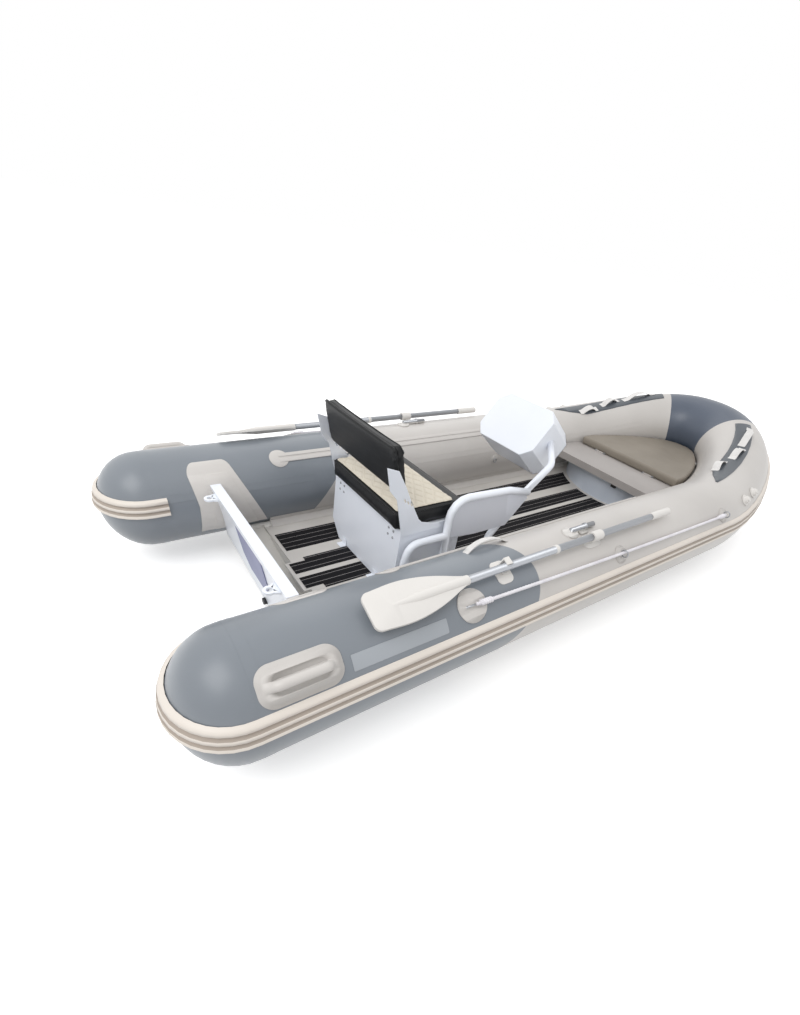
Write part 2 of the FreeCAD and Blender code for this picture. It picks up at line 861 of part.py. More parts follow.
# Fittings on the straight tubes are drawn in a frame of their own: along, down the side, outward
def tube_place(x, angle, lift):
    lean = math.radians(angle)
    radial = V(0, math.cos(lean), math.sin(lean))
    down = V(0, math.sin(lean), -math.cos(lean))
    base = V(x, half, axis_z) + radial * (tube_r + lift)
    return FreeCAD.Placement(base, FreeCAD.Rotation(V(1, 0, 0), down, radial, "XZY"))


def on_tube(shape, x, angle, lift=0.0):
    placed = shape.copy()
    placed.Placement = tube_place(x, angle, lift).multiply(shape.Placement)
    return placed


def tube_sheet(tool, x, angle, thick):
    low = tube_r + gap
    outer = Part.makeCylinder(low + thick, 2400, V(x - 1200, half, axis_z), V(1, 0, 0))
    inner = Part.makeCylinder(low, 2400, V(x - 1200, half, axis_z), V(1, 0, 0))
    return on_tube(tool, x, angle).common(outer).cut(inner)


def tube_core():
    return Part.makeCylinder(tube_r + gap, 3000, V(-200, half, axis_z), V(1, 0, 0))


def rounded_block(long, wide, radius):
    block = box(-long / 2, long / 2, -wide / 2, wide / 2, -80, 80)
    upright = [edge for edge in block.Edges if abs(edge.tangentAt(edge.FirstParameter).z) > 0.9]
    return block.makeFillet(radius, upright)


def round_block(radius):
    return Part.makeCylinder(radius, 160, V(0, 0, -80))


# The transom is bonded to each tube under a wide patch with a smaller one on it
def patch_layer(outline, thick, radius):
    tool = flat_face([V(transom_x + x, 0, axis_z + z) for x, z in outline]).extrude(V(0, half, 0))
    top = [edge for edge in tool.Edges if abs(edge.tangentAt(edge.FirstParameter).y) > 0.9
           and edge.Vertexes[0].Z > axis_z + 60]
    outer = Part.makeCylinder(tube_r + gap + thick, 800, V(0, half, axis_z), V(1, 0, 0))
    return tool.makeFillet(radius, top).common(outer)


def transom_patch():
    wide = [(-71, -120), (-67, 30), (-91, 192), (97, 192), (189, 0), (245, -120)]
    small = [(-9, -120), (-8, 50), (-39, 154), (87, 154), (147, 0), (197, -120)]
    inner = Part.makeCylinder(tube_r + gap, 800, V(0, half, axis_z), V(1, 0, 0))
    patch = patch_layer(wide, patch_thick, 38).fuse(patch_layer(small, 2 * patch_thick, 30))
    return patch.cut(inner).cut(transom_rail()).cut(transom()).removeSplitter()


def line_anchor():
    disc = tube_sheet(round_block(anchor_r), anchor_x, anchor_angle, patch_thick + 2)
    bar = rod(V(-26, 0, 9), V(26, 0, 9), 4)
    posts = [rod(V(x, 0, 2), V(x, 0, 9), 4) for x in (-26, 26)]
    return disc.fuse(on_tube(bar.fuse(posts), anchor_x, anchor_angle)).removeSplitter()


def ring_patch(x, angle):
    disc = tube_sheet(round_block(ring_patch_r), x, angle, patch_thick)
    wire = many_sided(d_ring_wire, 6)
    wire.translate(V(d_ring_r, 0, 0))
    wire.rotate(V(0, 0, 0), V(1, 0, 0), 90)
    ring = Part.Face(wire).revolve(V(0, 0, 0), V(0, 0, 1), 360)
    ring.rotate(V(0, 0, 0), V(0, 1, 0), 90)
    ring.translate(V(0, 0, d_ring_lift))
    return disc.fuse(on_tube(ring, x, angle)).removeSplitter()


def line_place(x, angle, lift):
    return tube_place(x, angle, lift).Base


def lifeline():
    stops = [line_place(anchor_x + 6, anchor_angle, line_knot), line_place(ring_mid_x, ring_mid_angle, line_lift),
             line_place(ring_fwd_x - 4, ring_fwd_angle, line_lift)]
    return bent_tube(stops, line_r, 200)


# A moulded grab handle: a stepped base, a finger recess and a grip that bridges it
def grab_handle():
    base = tube_sheet(rounded_block(grab_long, grab_wide, 48), grab_x, grab_angle, patch_thick)
    step = tube_sheet(rounded_block(grab_long - 24, grab_wide - 24, 40), grab_x, grab_angle, 3 * patch_thick)
    hollow = tube_sheet(rounded_block(grab_long - 84, grab_wide - 62, 26), grab_x, grab_angle, 9 * patch_thick)
    floor = tube_sheet(rounded_block(grab_long - 84, grab_wide - 62, 26), grab_x, grab_angle, patch_thick)
    reach = grab_long / 2 - 32
    arch = bent_tube([V(-reach, 0, -1), V(-reach + 22, 0, 31), V(reach - 22, 0, 31), V(reach, 0, -1)], 15, 24)
    arch = on_tube(arch, grab_x, grab_angle).cut(tube_core())
    return base.fuse(step.cut(hollow).fuse([floor, arch])).removeSplitter()


def top_strap():
    span = strap_span / 2
    outer = Part.Arc(V(-span, 0, 0), V(0, 0, strap_rise), V(span, 0, 0)).toShape()
    inner = Part.Arc(V(-span + 8, 0, 0), V(0, 0, strap_rise - 4), V(span - 8, 0, 0)).toShape()
    ends = [Part.makeLine(V(-span, 0, 0), V(-span + 8, 0, 0)), Part.makeLine(V(span - 8, 0, 0), V(span, 0, 0))]
    face = Part.Face(Part.Wire(Part.__sortEdges__([outer, inner] + ends)))
    band = face.extrude(V(0, strap_wide, 0))
    band.translate(V(0, -strap_wide / 2, 0))
    return on_tube(band, strap_x, strap_angle).cut(tube_core())


# The patch under the bow handles is a crescent cut from a band that follows the tube's panels
def bow_patch_band(turns):
    low = tube_r + gap
    steps = [math.radians(bow_patch_outer + (bow_patch_inner - bow_patch_outer) * i / 12) for i in range(13)]
    rim = [(low + patch_thick, angle) for angle in steps] + [(low, angle) for angle in reversed(steps)]
    points = [V(radius * math.cos(angle), radius * math.sin(angle), 0) for radius, angle in rim]
    outline = Part.makePolygon(points + [points[0]])
    rings = [across_tube(outline, bow_axis(turn), bow_heading(turn), bow_outward(turn)) for turn in turns]
    return Part.makeLoft(rings, True, True)


def bow_patch():
    turns = [turn for turn in bow_turns if bow_patch_start <= turn <= bow_patch_end]
    outer = []
    inner = []
    for turn in turns:
        start = bow_patch_low - bow_patch_turn_in * (turn - bow_patch_start) / (bow_patch_end - bow_patch_start)
        widening = bow_patch_low + bow_patch_nose + bow_patch_widen * (turn - bow_patch_start)
        narrowing = bow_patch_widest - bow_patch_narrow * (turn - bow_patch_start)
        outer.append(beside_axis(turn, tube_r * math.cos(math.radians(start)), 0))
        inner.append(beside_axis(turn, tube_r * math.cos(math.radians(min(widening, narrowing))), 0))
    plan = flat_face([V(place.x, place.y, 0) for place in outer + inner[::-1]])
    return bow_patch_band(turns).common(plan.extrude(V(0, 0, 3 * tube_r)))


# Twin bands run along the inboard shoulder of each tube from a round end patch
def inner_band():
    middle = (band_start + band_end) / 2
    long = band_end - band_start
    side = (band_wide - band_rail) / 2
    strips = [(0, band_wide, patch_thick - 1), (-side, band_rail, band_high), (side, band_rail, band_high)]
    bands = [tube_sheet(box(-long / 2, long / 2, y - wide / 2, y + wide / 2, -80, 80), middle, band_angle, thick)
             for y, wide, thick in strips]
    disc = tube_sheet(round_block(band_patch_r), band_start, band_angle, patch_thick)
    return disc.fuse(bands).removeSplitter()


# A strip of fabric bonds each edge of the deck to the tube's wall, over the rim of the hull
def bond_strip():
    def wall(z, clear):
        return half - math.sqrt((tube_r + gap) ** 2 - (z - axis_z) ** 2) - clear
    rim = chine(0) - V(0, chine_rim_wide, -7)
    bend = rim.z + 12
    top = bend + strip_high
    under = [(deck_half - strip_lap, deck_z + gap), (deck_half, deck_z + gap), (deck_half + 5, rim.z - 10),
             (rim.y - 1, rim.z + strip_thick), (wall(bend, gap), bend), (wall(top, gap), top)]
    over = [(wall(top, strip_thick), top), (wall(bend, 2 * strip_thick), bend), (rim.y - 4, rim.z + 2 * strip_thick),
            (deck_half + 4, rim.z - 10 + strip_thick), (deck_half - strip_lap, deck_z + strip_thick)]
    face = flat_face([V(strip_start, y, z) for y, z in under + over])
    return face.extrude(V(front_x - strip_start, 0, 0))


# Inflation valves on the outboard side of the bow
def tube_valve(turn):
    stem = Part.makeCylinder(valve_flange, patch_thick)
    stem = stem.fuse(Part.makeCylinder(valve_body, valve_high)).fuse(Part.makeCylinder(valve_cap, valve_high + 8))
    lean = math.radians(valve_angle)
    outward = bow_outward(turn)
    upright = bow_heading(turn).cross(outward)
    radial = outward * math.cos(lean) + upright * math.sin(lean)
    base = bow_axis(turn) + radial * (tube_r + gap)
    stem.Placement = FreeCAD.Placement(base, FreeCAD.Rotation(V(0, 0, 1), radial))
    return stem


# Each oar lies clipped along the tube and swings on the pin of its oarlock
def oar_shaft():
    root = V(blade_root - 60 - oar_pivot_x, 0, oar_lift)
    tip = V(grip_start - oar_pivot_x, 0, oar_lift)
    shaft = rod(root, tip, shaft_r)
    joint = rod(V(-shaft_joint - 12, 0, oar_lift), V(-shaft_joint, 0, oar_lift), shaft_r + 2)
    return on_tube(shaft.fuse(joint), oar_pivot_x, oar_angle)


def oar_grip():
    start = V(grip_start - oar_pivot_x, 0, oar_lift)
    grip = rod(start, V(grip_end - oar_pivot_x, 0, oar_lift), grip_r)
    ends = [edge for edge in grip.Edges if edge.Closed]
    return on_tube(grip.makeChamfer(4, ends), oar_pivot_x, oar_angle)


# The blade is a rounded paddle with a socket that tapers into a rib down its middle
def oar_blade():
    tip = blade_tip - oar_pivot_x
    root = blade_root - oar_pivot_x
    wide = blade_wide / 2
    corner = tip + blade_corner
    long = root - tip
    side = [V(root, shaft_r + 3, 0), V(root - 0.2 * long, wide * 0.58, 0), V(root - 0.5 * long, wide * 0.94, 0),
            V(root - 0.72 * long, wide, 0), V(corner, wide * 0.92, 0)]
    edge = smooth_edge(side, V(-1, 0.25, 0), V(-1, -0.05, 0)).toShape()
    bend = V(tip + blade_corner * 0.28, wide * 0.92 - blade_corner * 0.28, 0)
    turn = Part.Arc(side[-1], bend, V(tip, wide * 0.92 - blade_corner, 0)).toShape()
    end = Part.makeLine(V(tip, wide * 0.92 - blade_corner, 0), V(tip, 0, 0))
    port = [Part.makeLine(V(root, 0, 0), side[0]), edge, turn, end]
    other = [piece.mirror(V(0, 0, 0), V(0, 1, 0)) for piece in port]
    face = Part.Face(Part.Wire(Part.__sortEdges__(port + other)))
    slab = face.extrude(V(0, 0, blade_thick))
    slab.translate(V(0, 0, oar_lift - blade_thick / 2))
    neck = rod(V(root - blade_rib, 0, oar_lift), V(root + 14, 0, oar_lift), shaft_r + 3)
    point = V(root - blade_rib - blade_rib_tip, 0, oar_lift)
    rib = Part.makeCone(blade_thick / 2, shaft_r + 3, blade_rib_tip, point, V(1, 0, 0))
    bore = rod(V(root - 60, 0, oar_lift), V(root + 100, 0, oar_lift), shaft_r)
    blade = slab.fuse([neck, rib]).cut(bore)
    return on_tube(blade.removeSplitter(), oar_pivot_x, oar_angle)


def oar_collar():
    sleeve = rod(V(-collar_long / 2, 0, oar_lift), V(collar_long / 2, 0, oar_lift), collar_r)
    stem = rod(V(0, 0, base_high + gap), V(0, 0, oar_lift), 2 * pin_r)
    bore = rod(V(-collar_long, 0, oar_lift), V(collar_long, 0, oar_lift), shaft_r)
    hole = rod(V(0, 0, 0), V(0, 0, oar_lift), pin_r + pin_fit)
    return on_tube(sleeve.fuse(stem).cut(bore).cut(hole).removeSplitter(), oar_pivot_x, oar_angle)


# The oarlock's base has a boss with the pin, and inboard of it the sleeve that stows the pin's socket
def oarlock_base():
    foot = tube_sheet(rounded_block(110, 64, 30), oar_pivot_x, oar_angle, patch_thick)
    boss = Part.makeCone(26, 20, base_high + 2, V(0, 0, -2))
    pin = rod(V(0, 0, 0), V(0, 0, oar_lift - shaft_r - 1), pin_r)
    stand = on_tube(boss.fuse(pin), oar_pivot_x, oar_angle)
    sleeve_x = oar_pivot_x - 66
    flange = tube_sheet(round_block(lock_flange), sleeve_x, lock_angle, 2 * patch_thick)
    sleeve = rod(V(0, 0, lock_lift), V(lock_long, 0, lock_lift), lock_sleeve)
    collar = rod(V(lock_long * 0.6, 0, lock_lift), V(lock_long * 0.6 + 8, 0, lock_lift), lock_sleeve + 4)
    link = box(40, 86, -2, 30, 0, base_high)
    stow = on_tube(sleeve.fuse([collar, link]), sleeve_x, lock_angle)
    return foot.fuse([stand.fuse(stow).cut(tube_core()), flange]).removeSplitter()


# The clip is open outboard, so that the shaft swings straight out of it
def oar_clip():
    reach = shaft_r + clip_clear
    inboard = -reach - clip_wall
    low = oar_lift - reach - clip_wall
    high = oar_lift + reach + clip_wall
    back = box(-clip_wide / 2, clip_wide / 2, inboard, -reach, -3, high)
    top = box(-clip_wide / 2, clip_wide / 2, inboard, 4, high - clip_wall, high)
    bottom = box(-clip_wide / 2, clip_wide / 2, inboard, shaft_r, low, low + clip_wall)
    foot = tube_sheet(rounded_block(74, 96, 22), clip_x, oar_angle, patch_thick)
    hook = on_tube(back.fuse([top, bottom]), clip_x, oar_angle).cut(tube_core())
    return foot.fuse(hook).removeSplitter()


def build_tubes():
    save_pair("tube_aft", aft_tube())
    save_pair("tube_forward", forward_tube())
    save("tube_bow", bow_tube())
    save_pair("tube_tail", tail_cap())
    save_pair("rub_strake", strake())


# The plating is welded up from a stern, a middle and a bow section
def build_hull():
    whole = hull()
    for name, start, end in (("hull_stern", 0, deck_start), ("hull", deck_start, hull_joint), ("hull_bow", hull_joint, bow_tip)):
        save(name, whole.common(box(start, end, -half, half, -2 * keel_depth, 2 * tube_r)))
    save("deck", deck())
    save("deck_bond_strips", both(bond_strip()))
    save("deck_mats_outer", both(outer_mat()))
    save("deck_mats_inner", both(inner_mat()))
    save("transom", transom())
    save("transom_rail", transom_rail())
    save("transom_pads", Part.makeCompound([transom_pad(-pad_thick), transom_pad(transom_plate)]))
    save("lifting_eyes", both(lifting_eye()))
    save("drain_plug", drain_plug())
    save("transom_patches", both(transom_patch()))


def build_seat():
    save("seat_box", seat_box())
    save("seat_cushion", seat_cushion())
    save("seat_panel", seat_panel())
    save("backrest_board", back_slab(0, back_board, 0))
    save("backrest_pad", back_slab(back_board + gap, back_pad, 6))
    save("seat_brackets", both(seat_bracket()))
    save("seat_feet", seat_feet())


def build_console():
    save("console_frame", console_frame())
    save("console_panel", console_panel())
    save("console_pod", pod_shell())
    save("console_pod_cover", pod_cover())


def build_bow():
    save("locker_front", locker_front())
    save("bow_deck", bow_deck())
    save("bow_cushion", bow_cushion())
    save("locker_lid", locker_lid())
    save("lid_hinges", lid_hinges())
    save("locker_latch", latch())
    save("bow_handle_patches", both(bow_patch()))


def build_fittings():
    save("inner_bands", both(inner_band()))
    save("tube_valves", Part.makeCompound([both(tube_valve(turn)) for turn in valve_turns]))
    save("line_anchors", both(line_anchor()))
    rings = [ring_patch(ring_mid_x, ring_mid_angle), ring_patch(ring_fwd_x, ring_fwd_angle)]
    save("line_rings", Part.makeCompound(rings + [mirrored(ring) for ring in rings]))
    save("lifelines", both(lifeline()))
    save_pair("grab_handle", grab_handle())
    plate = tube_sheet(rounded_block(plate_long, plate_wide, 4), plate_x, plate_angle, 1)
    save("side_plate_starboard", mirrored(plate))
    save("top_straps", both(top_strap()))
    save_pair("oar_shaft", oar_shaft())
    save_pair("oar_grip", oar_grip())
    save_pair("oar_blade", oar_blade())
    save_pair("oar_collar", oar_collar())
    save_pair("oarlock_base", oarlock_base())
    save("oar_clips", both(oar_clip()))


build_tubes()
build_hull()
build_seat()
build_console()
build_bow()
build_fittings()
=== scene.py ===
# %% [markdown]
# # A rigid inflatable boat
# The boat is a V hull of sheet metal between two tubes of coated fabric that close in a full bow.
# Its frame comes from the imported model, so every piece here is in metres, with X to the bow,
# Y to port and Z up from the waterline. This lesson gives each surface its real finish and adds
# what the frame leaves plain: stuffed cushions, seams, webbing, rope and small fittings.

import json
import math

import bmesh
import bpy
from mathutils import Matrix, Vector, kdtree

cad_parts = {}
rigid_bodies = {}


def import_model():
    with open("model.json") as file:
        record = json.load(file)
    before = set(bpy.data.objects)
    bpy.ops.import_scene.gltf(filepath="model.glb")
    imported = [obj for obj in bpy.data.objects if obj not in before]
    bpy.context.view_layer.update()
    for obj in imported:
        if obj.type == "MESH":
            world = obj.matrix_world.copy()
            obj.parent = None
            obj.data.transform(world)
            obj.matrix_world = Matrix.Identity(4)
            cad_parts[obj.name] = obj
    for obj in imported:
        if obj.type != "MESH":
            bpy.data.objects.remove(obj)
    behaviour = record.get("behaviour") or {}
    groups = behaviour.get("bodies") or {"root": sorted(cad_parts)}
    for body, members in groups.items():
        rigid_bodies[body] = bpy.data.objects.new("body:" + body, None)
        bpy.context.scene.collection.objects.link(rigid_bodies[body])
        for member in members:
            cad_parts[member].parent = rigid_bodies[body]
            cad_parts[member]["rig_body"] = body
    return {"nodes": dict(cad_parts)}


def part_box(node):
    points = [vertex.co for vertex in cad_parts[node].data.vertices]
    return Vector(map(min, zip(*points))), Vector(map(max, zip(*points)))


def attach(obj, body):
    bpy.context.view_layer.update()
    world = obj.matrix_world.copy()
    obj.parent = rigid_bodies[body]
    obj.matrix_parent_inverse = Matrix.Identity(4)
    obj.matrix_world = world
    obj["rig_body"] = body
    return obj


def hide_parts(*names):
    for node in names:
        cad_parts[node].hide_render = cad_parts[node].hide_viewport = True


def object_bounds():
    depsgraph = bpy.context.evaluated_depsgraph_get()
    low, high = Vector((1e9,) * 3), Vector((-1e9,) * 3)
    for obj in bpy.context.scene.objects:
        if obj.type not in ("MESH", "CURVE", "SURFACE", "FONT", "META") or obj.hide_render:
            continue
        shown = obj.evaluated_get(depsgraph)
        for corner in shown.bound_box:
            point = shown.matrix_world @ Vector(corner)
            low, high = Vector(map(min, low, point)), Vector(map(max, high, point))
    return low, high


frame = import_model()
cad_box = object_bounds()
print("frame", len(frame["nodes"]), "nodes", [round(v, 3) for v in cad_box[1] - cad_box[0]])

# %% [markdown]
# A material is a small graph. One function adds any node with its settings and its links, and
# another turns the usual hex colours to the linear values that the shader works in. With these,
# each finish below is a few lines that say only what is special about it.

# %% Colours and nodes
def srgb(code):
    parts = [int(code[i:i + 2], 16) / 255 for i in (1, 3, 5)]
    return tuple(v / 12.92 if v < 0.04045 else ((v + 0.055) / 1.055) ** 2.4 for v in parts) + (1.0,)


def add_node(tree, kind, links=None, **settings):
    node = tree.nodes.new("ShaderNode" + kind)
    for name, value in settings.items():
        if name in node.inputs:
            node.inputs[name].default_value = value
        else:
            setattr(node, name, value)
    for name, source in (links or {}).items():
        tree.links.new(source, node.inputs[name])
    return node


def new_material(name, colour, roughness, metallic=0.0, coat=0.0):
    material = bpy.data.materials.new(name)
    material.use_nodes = True
    tree = material.node_tree
    shader = tree.nodes["Principled BSDF"]
    shader.inputs["Base Color"].default_value = srgb(colour)
    shader.inputs["Roughness"].default_value = roughness
    shader.inputs["Metallic"].default_value = metallic
    shader.inputs["Coat Weight"].default_value = coat
    return material, tree, shader


# %% [markdown]
# Two patterns serve most finishes. The first mixes two close tones in soft clouds, as dust, sun
# and handling do. The second raises a fine grain, whose size is given in millimetres. A picture
# could do both, but noise has no seams and needs no unwrapping. Both read Object coordinates, so
# they keep their scale on a small clip and on a long tube alike.

# %% Tone and grain
tone_low = 0.36
tone_high = 0.66


def clouded(tree, shader, light, dark, cloud_mm):
    place = add_node(tree, "TexCoord").outputs["Object"]
    cloud = add_node(tree, "TexNoise", {"Vector": place}, Scale=1000 / cloud_mm, Detail=4.0)
    ramp = add_node(tree, "ValToRGB", {"Fac": cloud.outputs["Fac"]})
    for element, position, tone in zip(ramp.color_ramp.elements, (tone_low, tone_high), (dark, light)):
        element.position = position
        element.color = srgb(tone)
    tree.links.new(ramp.outputs["Color"], shader.inputs["Base Color"])
    return place


def grained(tree, shader, place, grain_mm, height_mm, kind="TexNoise"):
    grain = add_node(tree, kind, {"Vector": place}, Scale=1000 / grain_mm)
    source = grain.outputs["Fac"] if kind == "TexNoise" else grain.outputs["Distance"]
    bump = add_node(tree, "Bump", {"Height": source}, Strength=0.5, Distance=height_mm / 1000)
    tree.links.new(bump.outputs["Normal"], shader.inputs["Normal"])


# %% [markdown]
# The tubes are PVC rolled hot on to a woven base. The coating gives a satin sheen, which is a
# thin rough coat over the colour, and the cloth shows through as a faint relief of about a
# millimetre, drawn at 3 mm so that it can be seen. A patch is the same cloth with a duller face.

# %% Coated fabric
satin_coat = 0.22
coat_roughness = 0.3
fabric_cloud = 420
weave = 3.0
weave_height = 0.12


def coated_fabric(name, light, dark, roughness=0.36):
    material, tree, shader = new_material(name, light, roughness, coat=satin_coat)
    shader.inputs["Coat Roughness"].default_value = coat_roughness
    place = clouded(tree, shader, light, dark, fabric_cloud)
    grained(tree, shader, place, weave, weave_height)
    return material


tube_dark = coated_fabric("pvc_fabric_dark_grey", "#80868D", "#797F86")
tube_light = coated_fabric("pvc_fabric_light_grey", "#C9C5C1", "#C1BDB9")
bow_dark = coated_fabric("pvc_fabric_slate_blue", "#535C6B", "#4D5665")
patch_dark = coated_fabric("pvc_fabric_charcoal", "#4E545B", "#484E55", 0.4)
patch_fabric = coated_fabric("pvc_fabric_patch", "#CFCBC7", "#C8C4C0", 0.42)
plate_fabric = coated_fabric("pvc_fabric_plate", "#A3A8AE", "#9DA2A8", 0.34)
print("coated fabrics", 6)

# %% [markdown]
# Rubber profiles, plastic fittings and plastic sheet come out of a die or a mould. Their skin is
# even and a little dull, with the fine texture of the tool, a millimetre or two across. To the
# eye that is a soft, wide highlight without a mirror in it. The grooves of the rub strake get a
# darker tone of their own, which is painted shade.

# %% Moulded and extruded
moulded_cloud = 260


def moulded(name, light, dark, roughness, grain_mm, height_mm):
    material, tree, shader = new_material(name, light, roughness)
    place = clouded(tree, shader, light, dark, moulded_cloud)
    grained(tree, shader, place, grain_mm, height_mm)
    return material


strake_rubber = moulded("extruded_rubber_beige", "#E2DAD1", "#DDD5CC", 0.46, 2.0, 0.05)
# Darker tone for the strake's grooves: painted shade in the recesses.
strake_groove_shade = moulded("extruded_rubber_painted_groove_shade", "#B0A499", "#AA9E93", 0.6, 2.0, 0.05)
panel_grey = moulded("panel_sheet_grey", "#D6D9E1", "#D1D4DD", 0.42, 2.5, 0.05)
dark_plastic = moulded("moulded_plastic_black", "#26272A", "#1F2022", 0.5, 1.2, 0.06)
pad_plastic = moulded("moulded_plastic_violet", "#8B8FB0", "#7E82A4", 0.5, 1.5, 0.08)
oar_plastic = moulded("moulded_plastic_cream", "#E0DDD9", "#DCD9D5", 0.42, 2.0, 0.05)
print("moulded finishes", 6)

# %% [markdown]
# Sheet metal on the boat is powder coated. The powder melts into a skin with a faint orange
# peel, which is a soft bump about 2 mm across, and it reflects with a broad sheen. The white is
# the glossiest, and the deck and the lid, which are walked on, are duller. The lid's grey is
# painted darker than the coat itself, as painted shade from the console pod above it.

# %% Powder coat
coat_cloud = 250
orange_peel = 2.2
peel_height = 0.08


def powder_coat(name, light, dark, roughness=0.34):
    material, tree, shader = new_material(name, light, roughness)
    place = clouded(tree, shader, light, dark, coat_cloud)
    grained(tree, shader, place, orange_peel, peel_height)
    return material


white_coat = powder_coat("powder_coat_white", "#EEF2F9", "#EAEEF6", 0.28)
hull_coat = powder_coat("powder_coat_hull", "#DEDBD5", "#D5D2CC")
deck_coat = powder_coat("powder_coat_deck", "#D3CFCA", "#C9C5C0", 0.45)
locker_coat = powder_coat("powder_coat_locker", "#D4DBE6", "#CAD2DE")
# Light grey coat darkened as painted shade from the console pod; the bow deck shares this colour.
lid_grey_and_painted_shade = powder_coat("powder_coat_grey_and_painted_shade", "#A8A3A0", "#A29D9A", 0.4)
print("powder coats", 5)

# %% [markdown]
# The oar shafts are drawn aluminium tube with a clear anodised skin, and the small fittings are
# brushed steel. Drawing and brushing leave fine lines, so the grain is stretched along the boat
# to fifty times its width. The skin dulls the metal, so neither is a full mirror.

# %% Metal
line_stretch = 0.02
line_grain = 1.2
line_height = 0.015


def drawn_metal(name, colour, roughness):
    material, tree, shader = new_material(name, colour, roughness, metallic=0.7)
    place = add_node(tree, "TexCoord").outputs["Object"]
    lines = add_node(tree, "Mapping", {"Vector": place}, Scale=(line_stretch, 1, 1))
    grained(tree, shader, lines.outputs["Vector"], line_grain, line_height)
    return material


aluminium = drawn_metal("drawn_aluminium", "#B6B9BE", 0.42)
steel = drawn_metal("brushed_steel", "#A9ABAF", 0.3)
print("metals", 2)

# %% [markdown]
# Marine vinyl has an embossed leather grain: small cells with soft creases between them. A
# Voronoi pattern gives such cells, where noise would give only soft lumps. The face is dull, so
# its reflection is turned down, and black vinyl then stays deep.

# %% Vinyl
leather_grain = 3.2
leather_height = 0.12
vinyl_cloud = 160
dull_reflection = 0.3


def vinyl(name, light, dark, roughness=0.46):
    material, tree, shader = new_material(name, light, roughness)
    shader.inputs["Specular IOR Level"].default_value = dull_reflection
    place = clouded(tree, shader, light, dark, vinyl_cloud)
    grained(tree, shader, place, leather_grain, leather_height, "TexVoronoi")
    return material


vinyl_black = vinyl("marine_vinyl_black", "#18191B", "#141517", 0.4)
vinyl_cream = vinyl("marine_vinyl_cream", "#D6CEBE", "#D1C9B9")
vinyl_taupe = vinyl("marine_vinyl_taupe", "#8F877C", "#898176")
print("vinyls", 3)

# %% [markdown]
# Webbing is woven flat in a fine herringbone, and rope yarn is matt with stray fibres. Both are
# drawn as close ridges about a millimetre and a half apart, a little disturbed so that they
# don't look ruled. They break up the light, so cloth never shines like plastic.

# %% Woven strap and rope yarn
woven_cloud = 60


def woven(name, light, dark, roughness, ridge_mm, height_mm):
    material, tree, shader = new_material(name, light, roughness)
    place = clouded(tree, shader, light, dark, woven_cloud)
    wave = add_node(tree, "TexWave", {"Vector": place}, Scale=500 / ridge_mm, Distortion=1.5, Detail=2.0)
    ridges = {"Height": wave.outputs["Fac"]}
    bump = add_node(tree, "Bump", ridges, Strength=0.6, Distance=height_mm / 1000)
    tree.links.new(bump.outputs["Normal"], shader.inputs["Normal"])
    return material


webbing = woven("woven_webbing_white", "#E8E6E4", "#DDDBD9", 0.75, 1.6, 0.25)
rope_yarn = woven("rope_yarn_white", "#F1EFF3", "#E4E1E7", 0.85, 1.4, 0.3)
print("woven finishes", 2)

# %% [markdown]
# The deck mats are foam sheet, black on top with a paler layer below. Grooves along the boat cut
# through to that layer. They are only 2 mm wide, so a line of colour shows them as well as a cut
# in the mesh would. The distance from the centreline, wrapped at the pitch of 39 mm, says where a
# pale line lies. Open cells leave the foam matt.

# %% Grooved foam
groove_pitch = 0.0389
groove_wide = 0.0022
foam_grain = 2.5
foam_height = 0.3


def grooved_foam(name, top, groove):
    material, tree, shader = new_material(name, top, 0.85)
    shader.inputs["Specular IOR Level"].default_value = 0.2
    place = add_node(tree, "TexCoord").outputs["Object"]
    across = add_node(tree, "SeparateXYZ", {"Vector": place}).outputs["Y"]
    steps = add_node(tree, "Math", operation="WRAP")
    tree.links.new(across, steps.inputs[0])
    steps.inputs[1].default_value = groove_pitch / 2
    steps.inputs[2].default_value = -groove_pitch / 2
    near = add_node(tree, "Math", operation="ABSOLUTE")
    tree.links.new(steps.outputs[0], near.inputs[0])
    line = add_node(tree, "Math", operation="LESS_THAN")
    tree.links.new(near.outputs[0], line.inputs[0])
    line.inputs[1].default_value = groove_wide / 2
    mix = add_node(tree, "Mix", {"Factor": line.outputs[0]}, data_type="RGBA")
    mix.inputs["A"].default_value = srgb(top)
    mix.inputs["B"].default_value = srgb(groove)
    tree.links.new(mix.outputs["Result"], shader.inputs["Base Color"])
    grained(tree, shader, place, foam_grain, foam_height)
    return material


mat_foam = grooved_foam("grooved_foam_black", "#19181B", "#A19E9C")
print("grooves", round(groove_pitch * 1000, 1), "mm apart")

# %% [markdown]
# A node of the frame is a loose set of triangles. A merged copy of it can be shaded smoothly,
# with sharp lines kept where two faces meet at an angle, and can have its edges eased by a
# bevel. The node itself is left alone, and the copy stands for it. One function does this for
# every node, so a finish is asked for in one line.

# %% Dress a node
same_place = 0.00002


def body_of_node(node):
    return frame["nodes"][node]["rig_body"]


def merged(node):
    mesh = frame["nodes"][node].data.copy()
    shape = bmesh.new()
    shape.from_mesh(mesh)
    bmesh.ops.remove_doubles(shape, verts=shape.verts, dist=same_place)
    bmesh.ops.dissolve_degenerate(shape, edges=shape.edges, dist=same_place)
    shape.to_mesh(mesh)
    shape.free()
    return mesh


def place_piece(name, mesh, material, body):
    piece = bpy.data.objects.new(name, mesh)
    bpy.context.scene.collection.objects.link(piece)
    mesh.materials.clear()
    mesh.materials.append(material)
    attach(piece, body)
    return piece


def smooth_faces(mesh):
    for face in mesh.polygons:
        face.use_smooth = True


def smooth_shaded(mesh, angle):
    smooth_faces(mesh)
    mesh.set_sharp_from_angle(angle=math.radians(angle))


def ease_edges(piece, width_mm, angle):
    bevel = piece.modifiers.new("eased_edges", "BEVEL")
    bevel.width = width_mm / 1000
    bevel.segments = 2
    bevel.limit_method = "ANGLE"
    bevel.angle_limit = math.radians(angle)
    bevel.harden_normals = True


